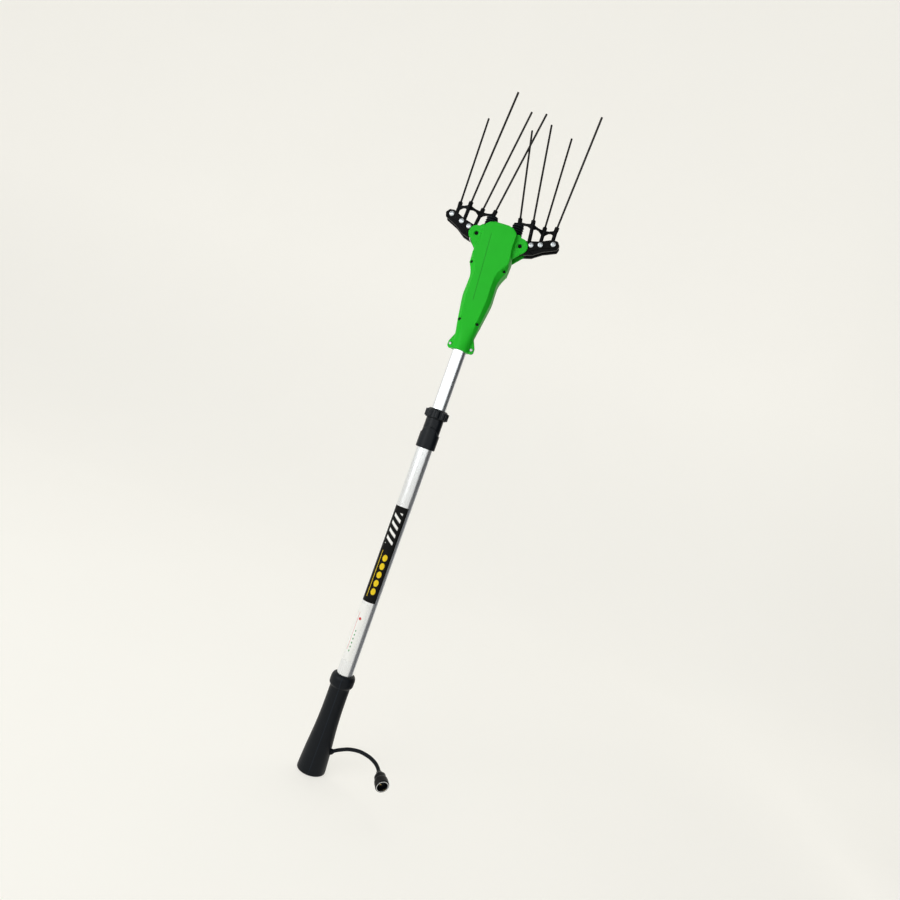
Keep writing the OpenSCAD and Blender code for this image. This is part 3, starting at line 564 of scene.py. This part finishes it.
def run_group(made, group, values, name):
    modifier = made.modifiers.new(group.name, "NODES")
    modifier.node_group = group
    for item in group.interface.items_tree:
        if item.in_out == "INPUT" and item.name in values:
            modifier[item.identifier] = values[item.name]
    return baked(made, name)


def swept(name, routes, radius, sides, material):
    """Round bars along the routes; each route is a list of (point, share of the radius)."""
    curve = bpy.data.curves.new(name, "CURVE")
    curve.dimensions = "3D"
    for route in routes:
        spline = curve.splines.new("POLY")
        spline.points.add(len(route) - 1)
        for slot, (point, share) in zip(spline.points, route):
            slot.co = (*point, 1.0)
            slot.radius = share
    made = bpy.data.objects.new(name, curve)
    bpy.context.scene.collection.objects.link(made)
    values = {"Radius": radius, "Sides": sides, "Material": material}
    made = run_group(made, sweep_group(), values, name)
    return soft_faces(made)


def repeated(name, piece, points, material):
    cloud = bpy.data.meshes.new(name)
    cloud.from_pydata([tuple(p) for p in points], [], [])
    made = run_group(plain(name, cloud), repeat_group(), {"Piece": piece, "Material": material}, name)
    bpy.data.objects.remove(piece)
    return soft_faces(made)


def cross_screw(head_r, head_h, shank_r, length):
    """A pan-head screw with a cross recess: its head's top at the origin, its shank towards +Y."""
    dome_share, slot_long, slot_wide, slot_deep = 0.55, 1.25, 0.34, 1.5
    dome = [
        (head_r * math.sin(a), -head_h * dome_share * (1 - math.cos(a)))
        for a in (math.radians(d) for d in (0, 20, 40, 60, 78, 90))
    ]
    profile = [(0, -length), (shank_r, -length), (shank_r, -head_h), (head_r, -head_h)] + dome[::-1]
    screw = turned("cross_screw", profile, 40, closed=False)
    cutter = bmesh.new()
    reach = head_r * slot_long
    for wide, deep in ((1, slot_wide), (slot_wide, 1)):
        size = Matrix.Diagonal((reach * wide, reach * deep, head_h * slot_deep, 1))
        bmesh.ops.create_cube(cutter, size=1.0, matrix=size)
    tool = from_bmesh("cross_cutter", cutter)
    cut = screw.modifiers.new("recess", "BOOLEAN")
    cut.operation = "DIFFERENCE"
    cut.use_self = True
    cut.object = tool
    screw = baked(screw, "cross_screw")
    bpy.data.objects.remove(tool)
    screw.data.transform(Matrix.Rotation(math.radians(90), 4, "X"))
    return screw


def place(made, paint, body, nodes=()):
    """Gives a finished piece its paint and body, and hides the CAD nodes it stands for."""
    if paint is not None:
        made.data.materials.clear()
        made.data.materials.append(paint.material)
    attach(made, body)
    if nodes:
        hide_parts(*nodes)
    return made


def dress(paint, *nodes):
    """A procedural finish for CAD nodes that stay as they are."""
    for node in nodes:
        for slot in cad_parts[node].material_slots:
            slot.material = paint.material


def screw_set(name, node, head_h, shank_r, paint, body):
    """Cross screws in place of the solids of a CAD node."""
    found = [span(p) for p in solids(node)]
    low, high = found[0]
    screw = cross_screw((high.x - low.x) / 2, head_h, shank_r, high.y - low.y)
    heads = [((a.x + b.x) / 2, a.y, (a.z + b.z) / 2) for a, b in found]
    place(repeated(name, screw, heads, paint.material), None, body, (node,))


# Properties


def colour_setting(name, description, default):
    return bpy.props.FloatVectorProperty(
        name=name, description=description, subtype="COLOR", size=4, default=(*default, 1.0)
    )


def number_setting(name, description, default, unit):
    return bpy.props.FloatProperty(name=name, description=description, default=default, unit=unit)


class HarvesterLook(bpy.types.PropertyGroup):
    """Colours of the finishes."""

    green: colour_setting("Housing", "Colour of the moulded housing", (0.016, 0.475, 0.02))
    black: colour_setting("Arms", "Colour of the black plastic", (0.0022, 0.0023, 0.0027))
    rubber: colour_setting("Rubber", "Colour of the grip, lock, lead and bellows", (0.0032, 0.005, 0.0078))
    alloy: colour_setting("Tubes", "Colour of the drawn aluminium", (0.85, 0.865, 0.885))
    carbon: colour_setting("Tines", "Colour of the carbon rods", (0.006, 0.005, 0.0045))
    ink: colour_setting("Label ink", "Warm ink of the dark label", (0.87, 0.62, 0.02))


class HarvesterForm(bpy.types.PropertyGroup):
    """Sizes of the visual detail."""

    shell_voxel: number_setting("Shell detail", "Voxel size of the housing", 0.9 * MM, "LENGTH")
    arm_voxel: number_setting("Arm detail", "Voxel size of the arms and combs", 0.5 * MM, "LENGTH")
    lead_d: number_setting("Lead", "Diameter of the lead", 7 * MM, "LENGTH")
    tine_d: number_setting("Tine", "Diameter of a tine", 4 * MM, "LENGTH")
    ribs: bpy.props.IntProperty(name="Ribs", description="Ribs on each bellows", default=5)
    label_turn: bpy.props.FloatProperty(
        name="Label turn", description="Middle of the labels from the front, towards the right hand",
        default=math.radians(-8), subtype="ANGLE",
    )


class HarvesterStage(bpy.types.PropertyGroup):
    """Camera, floor and lights."""

    eye: bpy.props.FloatVectorProperty(
        name="Camera", description="Place of the camera", subtype="XYZ", unit="LENGTH",
        default=(0.22002, -1.28851, 0.58041),
    )
    turn: bpy.props.FloatVectorProperty(
        name="Turn", description="Angles of the camera", subtype="EULER",
        default=(math.radians(89.772), math.radians(-19.598), math.radians(7.709)),
    )
    lens: number_setting("Lens", "Focal length", 26.975, "CAMERA")
    paper: colour_setting("Floor", "Colour of the floor and backdrop", (0.94, 0.925, 0.87))
    key: number_setting("Key", "Power of the key light", 24.0, "POWER")
    fill: number_setting("Fill", "Power of the top light", 5.0, "POWER")


# Operators


class HARVESTER_OT_stage(bpy.types.Operator):
    """Sets the camera, a pale floor that rises into a backdrop, and soft lights"""

    bl_idname = "harvester.stage"
    bl_label = "Stage"

    def matt(self, name, scale, first, second, more):
        """A matt paint, faintly clouded between two tones."""
        paint = Paint(name, {"Roughness": 0.9, **more})
        paint.set("Base Color", paint.mix(paint.noise(scale), first, second))
        return paint

    def card(self, name, paint, corners, fills, mirrors, shows=False):
        """A flat card that fills with soft light or shade, mirrors in gloss or shows to the camera."""
        mesh = bpy.data.meshes.new(name)
        mesh.from_pydata(corners, [], [(0, 1, 2, 3)])
        mesh.materials.append(paint.material)
        made = plain(name, mesh)
        made.visible_camera = shows
        made.visible_shadow = False
        made.visible_diffuse = fills
        made.visible_glossy = mirrors

    def camera(self, scene, stage):
        lens = bpy.data.cameras.new("camera")
        lens.lens = stage.lens
        lens.sensor_width = 36.0
        lens.clip_start = 0.02
        made = bpy.data.objects.new("camera", lens)
        made.location = stage.eye
        made.rotation_euler = stage.turn
        scene.collection.objects.link(made)
        scene.camera = made

    def floor(self, paper):
        """The floor and the backdrop it bends up into."""
        back, bend = 3.2, 1.6
        line = [(-STUDIO, FLOOR_Z)] + [
            (back - bend + bend * math.sin(a), FLOOR_Z + bend - bend * math.cos(a))
            for a in (math.radians(d) for d in range(0, 91, 6))
        ]
        line.append((back, STUDIO))
        sweep = bmesh.new()
        rows = [[sweep.verts.new((x, y, z)) for x in (-STUDIO, STUDIO)] for y, z in line]
        for a, b in zip(rows, rows[1:]):
            sweep.faces.new((a[0], a[1], b[1], b[0]))
        floor = soft_faces(from_bmesh("floor", sweep), 60.0)
        glow = {"Specular IOR Level": 0.0, "Emission Color": paper, "Emission Strength": 0.7}
        paint = self.matt("paper", 3.0, shade(paper, 0.39), shade(paper, 0.41), glow)
        floor.data.materials.append(paint.material)

    def walls(self, paper):
        """A ring of pale walls that only the camera sees, for the views from other sides."""
        foot = FLOOR_Z - 0.1
        glow = {"Specular IOR Level": 0.0, "Emission Color": paper, "Emission Strength": 0.88}
        paint = self.matt("studio_wall", 3.0, shade(paper, 0.01), shade(paper, 0.02), glow)
        ring = [
            (STUDIO * math.cos(a), STUDIO * math.sin(a))
            for a in (math.radians(d) for d in range(0, 361, 15))
        ]
        for k, (a, b) in enumerate(zip(ring, ring[1:])):
            corners = [(*a, foot), (*b, foot), (*b, STUDIO), (*a, STUDIO)]
            self.card(f"studio_wall_{k}", paint, corners, False, False, True)

    def cards(self):
        """White cards behind the camera, and grey and dark ones to the right for the shaded edges."""
        grey = self.matt("grey_card", 4.0, (0.22, 0.23, 0.25, 1), (0.25, 0.26, 0.28, 1), {})
        unlit = {"Specular IOR Level": 0.0}
        dark = self.matt("dark_flag", 4.0, (0.01, 0.01, 0.01, 1), (0.02, 0.02, 0.02, 1), unlit)
        glow = {"Emission Color": (0.92, 0.97, 1.0, 1.0), "Emission Strength": 1.02}
        white = self.matt("white_card", 4.0, (0.78, 0.78, 0.78, 1), (0.8, 0.8, 0.8, 1), glow)
        top, foot = 2.4, FLOOR_Z + 0.003
        behind = [(-3.0, -2.6), (0.7, -3.3)]
        for name, paint, line, lift, fills, mirrors in (
            ("white_card", white, behind, 0.7, True, True),
            ("white_wing_left", white, [(-3.2, 0.4), behind[0]], 0.7, False, True),
            ("white_wing_right", white, [behind[1], (2.7, -1.0)], 0.7, False, True),
            ("grey_card", grey, [(1.75, -0.8), (1.75, 2.4)], 0.0, False, True),
            ("dark_flag", dark, [(1.3, -1.5), (1.3, 1.0)], 0.3, True, False),
        ):
            base = foot + lift
            corners = [(*line[0], base), (*line[1], base), (*line[1], top), (*line[0], top)]
            self.card(name, paint, corners, fills, mirrors)
        mat = [(0.28, -0.13, foot), (2.1, -0.96, foot), (2.1, 2.4, foot), (0.25, 0.3, foot)]
        self.card("grey_mat", grey, mat, False, True)

    def lights(self, scene, stage):
        for name, spot, aim, size, power in (
            ("key", (-1.5, -2.3, 1.5), (0, 0, 0.55), 2.0, stage.key),
            ("top", (-0.3, 0.5, 2.6), (0, 0, 0.9), 1.2, stage.fill),
        ):
            lamp = bpy.data.lights.new(name, "AREA")
            lamp.shape = "DISK"
            lamp.size = size
            lamp.energy = power
            made = bpy.data.objects.new(name, lamp)
            made.location = spot
            made.rotation_euler = (Vector(aim) - Vector(spot)).to_track_quat("-Z", "Y").to_euler()
            scene.collection.objects.link(made)
        world = bpy.data.worlds.new("studio")
        world.use_nodes = True
        air = world.node_tree.nodes["Background"]
        air.inputs["Color"].default_value = (1.0, 0.985, 0.95, 1.0)
        air.inputs["Strength"].default_value = 0.3
        scene.world = world

    def execute(self, context):
        scene, stage = context.scene, context.scene.harvester_stage
        paper = tuple(stage.paper)
        self.camera(scene, stage)
        self.floor(paper)
        self.walls(paper)
        self.cards()
        self.lights(scene, stage)
        scene.view_settings.view_transform = "Standard"
        return {"FINISHED"}


class HARVESTER_OT_lead(bpy.types.Operator):
    """Sweeps the short lead from its gland to the connector"""

    bl_idname = "harvester.lead"
    bl_label = "Lead and connector"

    def execute(self, context):
        look, form = context.scene.harvester_look, context.scene.harvester_form
        jacket = moulded("lead_jacket", tuple(look.rubber), 0.5, 2200.0, 0.00003)
        route = smooth_route(LEAD_ROUTE, 6)
        made = swept("lead", [[(p, 1.0) for p in route]], form.lead_d / 2, 28, jacket.material)
        place(made, None, "handle", ("pigtail_lead",))
        gland = softened("gland", "cable_gland", 0.4 * MM, 5)
        place(gland, jacket, "handle", ("cable_gland",))
        shell = moulded("connector_black", tuple(look.black), 0.34, 2600.0, 0.00002, 0.12, 0.2)
        body = softened("connector", "connector_body", 0.4 * MM, 4)
        place(body, shell, "handle", ("connector_body",))
        dress(metal("plated_ring", (0.74, 0.75, 0.76, 1), 0.24), "connector_ring")
        dress(shell, "connector_insert")
        dress(metal("contact_brass", (0.72, 0.52, 0.2, 1), 0.26), "connector_contacts")
        length = sum((b - a).length for a, b in zip(route, route[1:]))
        return {"FINISHED"}


class HARVESTER_OT_grip(bpy.types.Operator):
    """Moulds the rubber grip with its collar and parting line, the line painted lighter as a painted
    highlight
    """

    bl_idname = "harvester.grip"
    bl_label = "Grip"

    def execute(self, context):
        rubber = tuple(context.scene.harvester_look.rubber)
        grain, seam_x = 1900.0, 0.003
        paint = moulded("grip_rubber", rubber, 0.44, grain, 0.00004, 0.2, 0.17)
        x, y, _ = paint.axes(paint.place())
        seam_and_highlight = abs(x - seam_x).ramp(0.0011, 0.0004) * y.ramp(0.0, -0.01)
        # Painted highlight: the parting line is painted lighter than the rubber, standing in for the light
        # its ridge catches; the bump below raises the ridge itself.
        paint.set("Base Color", paint.mix(seam_and_highlight * 0.8, paint.tone, shade(rubber, 3.0)))
        paint.bump(paint.noise(grain) * 0.15 + seam_and_highlight, 0.4, 0.0003)
        place(softened("grip", "grip", 0.9 * MM, 10), paint, "handle", ("grip",))
        return {"FINISHED"}


class HARVESTER_OT_pole(bpy.types.Operator):
    """Finishes the two tubes, the twist lock and the labels"""

    bl_idname = "harvester.pole"
    bl_label = "Pole, lock and labels"

    def label(self, name, paint, turn, half, z0, z1):
        """A thin film round the front of the lower tube, with its print's UV map on the outer skin."""
        rows, columns = 24, 32
        skins = (LOWER_TUBE_R + 0.02 * MM, LOWER_TUBE_R + 0.14 * MM)
        shares = [2 * i / columns - 1 for i in range(columns + 1)]
        levels = [(z1 - z0) * j / rows for j in range(rows + 1)]
        mesh = bmesh.new()
        grid = mesh.loops.layers.uv.new("label")

        def row(r, z):
            angles = [turn + half * share for share in shares]
            return [mesh.verts.new((r * math.sin(a), -r * math.cos(a), z0 + z)) for a in angles]

        inner, outer = [[row(r, z) for z in levels] for r in skins]
        for j in range(rows):
            for i in range(columns):
                face = mesh.faces.new((outer[j][i], outer[j][i + 1], outer[j + 1][i + 1], outer[j + 1][i]))
                for loop, (k, m) in zip(face.loops, ((i, j), (i + 1, j), (i + 1, j + 1), (i, j + 1))):
                    across, up = LOWER_TUBE_R * half * shares[k], levels[m]
                    loop[grid].uv = (across / MM / UV_MM, up / MM / UV_MM)
                mesh.faces.new((inner[j][i], inner[j + 1][i], inner[j + 1][i + 1], inner[j][i + 1]))
        for j in range(rows):
            mesh.faces.new((inner[j][0], outer[j][0], outer[j + 1][0], inner[j + 1][0]))
            mesh.faces.new((outer[j][-1], inner[j][-1], inner[j + 1][-1], outer[j + 1][-1]))
        for i in range(columns):
            mesh.faces.new((inner[0][i], inner[0][i + 1], outer[0][i + 1], outer[0][i]))
            mesh.faces.new((outer[-1][i], outer[-1][i + 1], inner[-1][i + 1], inner[-1][i]))
        place(soft_faces(from_bmesh(name, mesh)), paint, "handle")

    def execute(self, context):
        look, form = context.scene.harvester_look, context.scene.harvester_form
        drawn = metal("tube_alloy", tuple(look.alloy), 0.27, (1, 1, 0.006), 1400.0, 0.06)
        for node, body in (("lower_tube", "handle"), ("upper_tube", "mast")):
            place(soft_faces(merged_copy(node + "_skin", node)), drawn, body, (node,))

        black = moulded("lock_black", tuple(look.rubber), 0.3, 2400.0, 0.00002, 0.12, 0.2)
        sleeve = softened("lock_sleeve", "clamp_sleeve", 0.5 * MM, 2)
        place(sleeve, black, "handle", ("clamp_sleeve",))
        knob = softened("lock_knob", "lock_ring", 0.45 * MM, 4)
        place(knob, black, "lock_ring", ("lock_ring",))
        nylon = moulded("collet_nylon", (0.62, 0.6, 0.55, 1), 0.45, 1800.0, 0.00002)
        dress(nylon, "clamp_collet", "slide_bush")

        white, red, leaf = (0.9, 0.9, 0.88, 1), (0.62, 0.03, 0.03, 1), (0.06, 0.32, 0.1, 1)
        dark = label_paint("label_dark", (0.004, 0.004, 0.004, 1), tuple(look.ink), white, fruit_motif)
        pale = label_paint("label_pale", white, leaf, red, dash_motif)
        turn = form.label_turn
        self.label("label_upper", dark, turn, math.radians(56), 0.248, 0.442)
        self.label("label_lower", pale, turn - math.radians(16), math.radians(40), 0.129, 0.242)
        return {"FINISHED"}


class HARVESTER_OT_inner_lead(bpy.types.Operator):
    """Winds the lead inside the tubes as a fixed coil"""

    bl_idname = "harvester.inner_lead"
    bl_label = "Inner lead"

    def execute(self, context):
        rubber = tuple(context.scene.harvester_look.rubber)
        low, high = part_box("inner_lead")
        reach = min(high[0] - low[0], high[1] - low[1]) / 2
        wire = min(1.6 * MM, reach * 0.4)
        turns, steps, run_in = 48, 20, 30
        bottom, top = low[2] + wire, high[2] - wire
        route = []
        for k in range(turns * steps + 1):
            share = k / (turns * steps)
            angle = 2 * math.pi * k / steps
            out = (reach - wire) * min(1.0, share * run_in, (1 - share) * run_in)
            level = bottom + (top - bottom) * share
            route.append((Vector((out * math.cos(angle), out * math.sin(angle), level)), 1.0))
        paint = moulded("inner_lead_jacket", rubber, 0.5, 2200.0, 0.00002)
        made = swept("inner_lead_coil", [route], wire, 8, paint.material)
        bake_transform(made)
        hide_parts("inner_lead")
        return {"FINISHED"}


class HARVESTER_OT_housing(bpy.types.Operator):
    """Moulds the two green shells and fits their screws"""

    bl_idname = "harvester.housing"
    bl_label = "Housing"

    def execute(self, context):
        look, form = context.scene.harvester_look, context.scene.harvester_form
        green = green_shell_paint(look)
        for node in ("front_shell", "rear_shell"):
            made = softened(node + "_moulding", node, form.shell_voxel, 5)
            level_ears(made)
            if node == "front_shell":
                crisp_front(made)
            place(made, green, "mast", (node,))
        zinc = metal("zinc_screw", (0.56, 0.58, 0.6, 1), 0.34)
        screw_set("lug_screw_set", "lug_screws", 2.2 * MM, 1.5 * MM, zinc, "mast")
        dress(zinc, "lug_nuts", "plate_screws")
        dark = metal("dark_steel", (0.012, 0.012, 0.014, 1), 0.4)
        dress(dark, "shell_screws")
        pins = soft_faces(merged_copy("pivot_pin_set", "pivot_pins"))
        place(pins, dark, "mast", ("pivot_pins",))
        return {"FINISHED"}


class HARVESTER_OT_drive(bpy.types.Operator):
    """Finishes the motor, gears and crank inside the housing"""

    bl_idname = "harvester.drive"
    bl_label = "Motor and crank"

    def execute(self, context):
        steel = metal("ground_steel", (0.6, 0.61, 0.62, 1), 0.26, (0.1, 0.1, 1))
        can = metal("motor_zinc", (0.66, 0.67, 0.66, 1), 0.34, (1, 1, 0.03))
        bronze = metal("bronze", (0.56, 0.36, 0.14, 1), 0.3)
        look = context.scene.harvester_look
        black = moulded("motor_cap_black", tuple(look.black), 0.42, 2000.0, 0.00003)
        dress(can, "motor_can", "motor_plate")
        dress(black, "motor_end_cap")
        dress(steel, "motor_shaft", "crank_axle", "crank_pin", "crank_bearing", "crank_roller")
        dress(metal("gear_steel", (0.34, 0.34, 0.35, 1), 0.32), "bevel_pinion", "crank_gear")
        dress(bronze, "left_bush", "right_bush")
        return {"FINISHED"}


class HARVESTER_OT_bellows(bpy.types.Operator):
    """Turns the two ribbed rubber bellows as fixed shapes"""

    bl_idname = "harvester.bellows"
    bl_label = "Bellows"

    def execute(self, context):
        look, form = context.scene.harvester_look, context.scene.harvester_form
        paint = moulded("bellows_rubber", tuple(look.rubber), 0.5, 2000.0, 0.00003, 0.2)
        wall, core, rib, rib_power, steps = 1.3 * MM, 5.2 * MM, 2.4 * MM, 0.7, 10
        for side in SIDES:
            low, high = (Vector(p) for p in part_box(side + "_bellows"))
            foot, tip = low.z, high.z
            foot_r, top_r = (high.x - low.x) / 2, (high.x - low.x) / 2 - 2.0 * MM
            first, last = foot + 2.8 * MM, tip - 2.2 * MM
            outer = [
                (foot_r - 0.5 * MM, foot),
                (foot_r, foot + 0.6 * MM),
                (foot_r - 0.4 * MM, foot + 2.4 * MM),
            ]
            for k in range(form.ribs * steps + 1):
                share = k / (form.ribs * steps)
                wave = 0.5 - 0.5 * math.cos(2 * math.pi * share * form.ribs)
                crown = foot_r + (top_r + 0.6 * MM - foot_r) * share
                outer.append((crown - rib + rib * wave**rib_power, first + (last - first) * share))
            outer += [
                (top_r - 1.4 * MM, tip - 1.6 * MM),
                (top_r - 0.6 * MM, tip - 1.0 * MM),
                (top_r - 1.0 * MM, tip),
            ]
            inner = [(max(core, r - wall), z) for r, z in reversed(outer)]
            made = soft_faces(turned(side + "_gaiter", outer + inner, 64), 50.0)
            middle = ((low.x + high.x) / 2, (low.y + high.y) / 2)
            made.data.transform(Matrix.Translation((*middle, 0)))
            made.data.materials.append(paint.material)
            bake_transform(made)
            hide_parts(side + "_bellows")
        return {"FINISHED"}


class HARVESTER_OT_hands(bpy.types.Operator):
    """Moulds the arms and combs of both hands and fits their bolts"""

    bl_idname = "harvester.hands"
    bl_label = "Hands"

    def execute(self, context):
        look, form = context.scene.harvester_look, context.scene.harvester_form
        black = moulded("arm_black", tuple(look.black), 0.4, 2300.0, 0.00004, 0.2, 0.06)
        zinc = metal("zinc_bolt", (0.5, 0.53, 0.55, 1), 0.36)
        for side in SIDES:
            body = side + "_hand"
            for node in ("cheek_front", "cheek_rear", "comb", "lever"):
                name = f"{side}_{node}"
                made = softened(name + "_moulding", name, form.arm_voxel, 6)
                place(made, black, body, (name,))
            screw_set(side + "_bolt_set", side + "_bolts", 2.6 * MM, 2.0 * MM, zinc, body)
            dress(zinc, side + "_bolt_nuts")
        return {"FINISHED"}


class HARVESTER_OT_tines(bpy.types.Operator):
    """Sweeps the four carbon tines of each hand"""

    bl_idname = "harvester.tines"
    bl_label = "Tines"

    def execute(self, context):
        look, form = context.scene.harvester_look, context.scene.harvester_form
        colour = tuple(look.carbon)
        paint = Paint("carbon_rod", {"Base Color": colour, "Specular IOR Level": 0.2})
        fibre = paint.noise(2600.0, 3.0, (1, 1, 0.01))
        paint.set("Base Color", paint.mix(fibre, shade(colour, 0.6), shade(colour, 1.9)))
        paint.set("Roughness", 0.3 + fibre * 0.16)
        paint.bump(fibre, 0.2, 0.00005)
        radius = form.tine_d / 2
        for side in SIDES:
            routes, nodes = [], [f"{side}_tine_{k}" for k in range(1, 5)]
            for node in nodes:
                low, high = rod_ends(solids(node)[0])
                along = (high - low).normalized()
                length = (high - low).length
                marks = [(0.0, 1.0)] + [(length * k / 12, 1.0) for k in range(1, 12)]
                marks += [
                    (length - radius * (1 - math.sin(a)), max(0.02, math.cos(a)))
                    for a in (math.radians(d) for d in (0, 25, 50, 70, 88))
                ]
                routes.append([(low + along * t, share) for t, share in marks])
            made = swept(side + "_tines", routes, radius, 20, paint.material)
            place(made, None, side + "_hand", nodes)
        return {"FINISHED"}


class HARVESTER_PT_panel(bpy.types.Panel):
    """Buttons and settings for the harvester's looks"""

    bl_idname = "HARVESTER_PT_panel"
    bl_label = "Harvester"
    bl_space_type = "VIEW_3D"
    bl_region_type = "UI"
    bl_category = "Harvester"

    def draw(self, context):
        for name, _ in SETTINGS:
            settings = getattr(context.scene, name)
            for key in settings.bl_rna.properties.keys():
                if key not in ("rna_type", "name"):
                    self.layout.prop(settings, key)
        for operator in OPERATORS:
            self.layout.operator(operator.bl_idname)


OPERATORS = (
    HARVESTER_OT_stage,
    HARVESTER_OT_lead,
    HARVESTER_OT_grip,
    HARVESTER_OT_pole,
    HARVESTER_OT_inner_lead,
    HARVESTER_OT_housing,
    HARVESTER_OT_drive,
    HARVESTER_OT_bellows,
    HARVESTER_OT_hands,
    HARVESTER_OT_tines,
)
SETTINGS = (
    ("harvester_look", HarvesterLook),
    ("harvester_form", HarvesterForm),
    ("harvester_stage", HarvesterStage),
)


def register():
    for name, group in SETTINGS:
        bpy.utils.register_class(group)
        setattr(bpy.types.Scene, name, bpy.props.PointerProperty(type=group))
    for operator in OPERATORS:
        bpy.utils.register_class(operator)
    bpy.utils.register_class(HARVESTER_PT_panel)


def unregister():
    bpy.utils.unregister_class(HARVESTER_PT_panel)
    for operator in reversed(OPERATORS):
        bpy.utils.unregister_class(operator)
    for name, group in reversed(SETTINGS):
        delattr(bpy.types.Scene, name)
        bpy.utils.unregister_class(group)


def main():
    register()
    for operator in OPERATORS:
        family, name = operator.bl_idname.split(".")
        getattr(getattr(bpy.ops, family), name)()


if __name__ == "__main__":
    main()
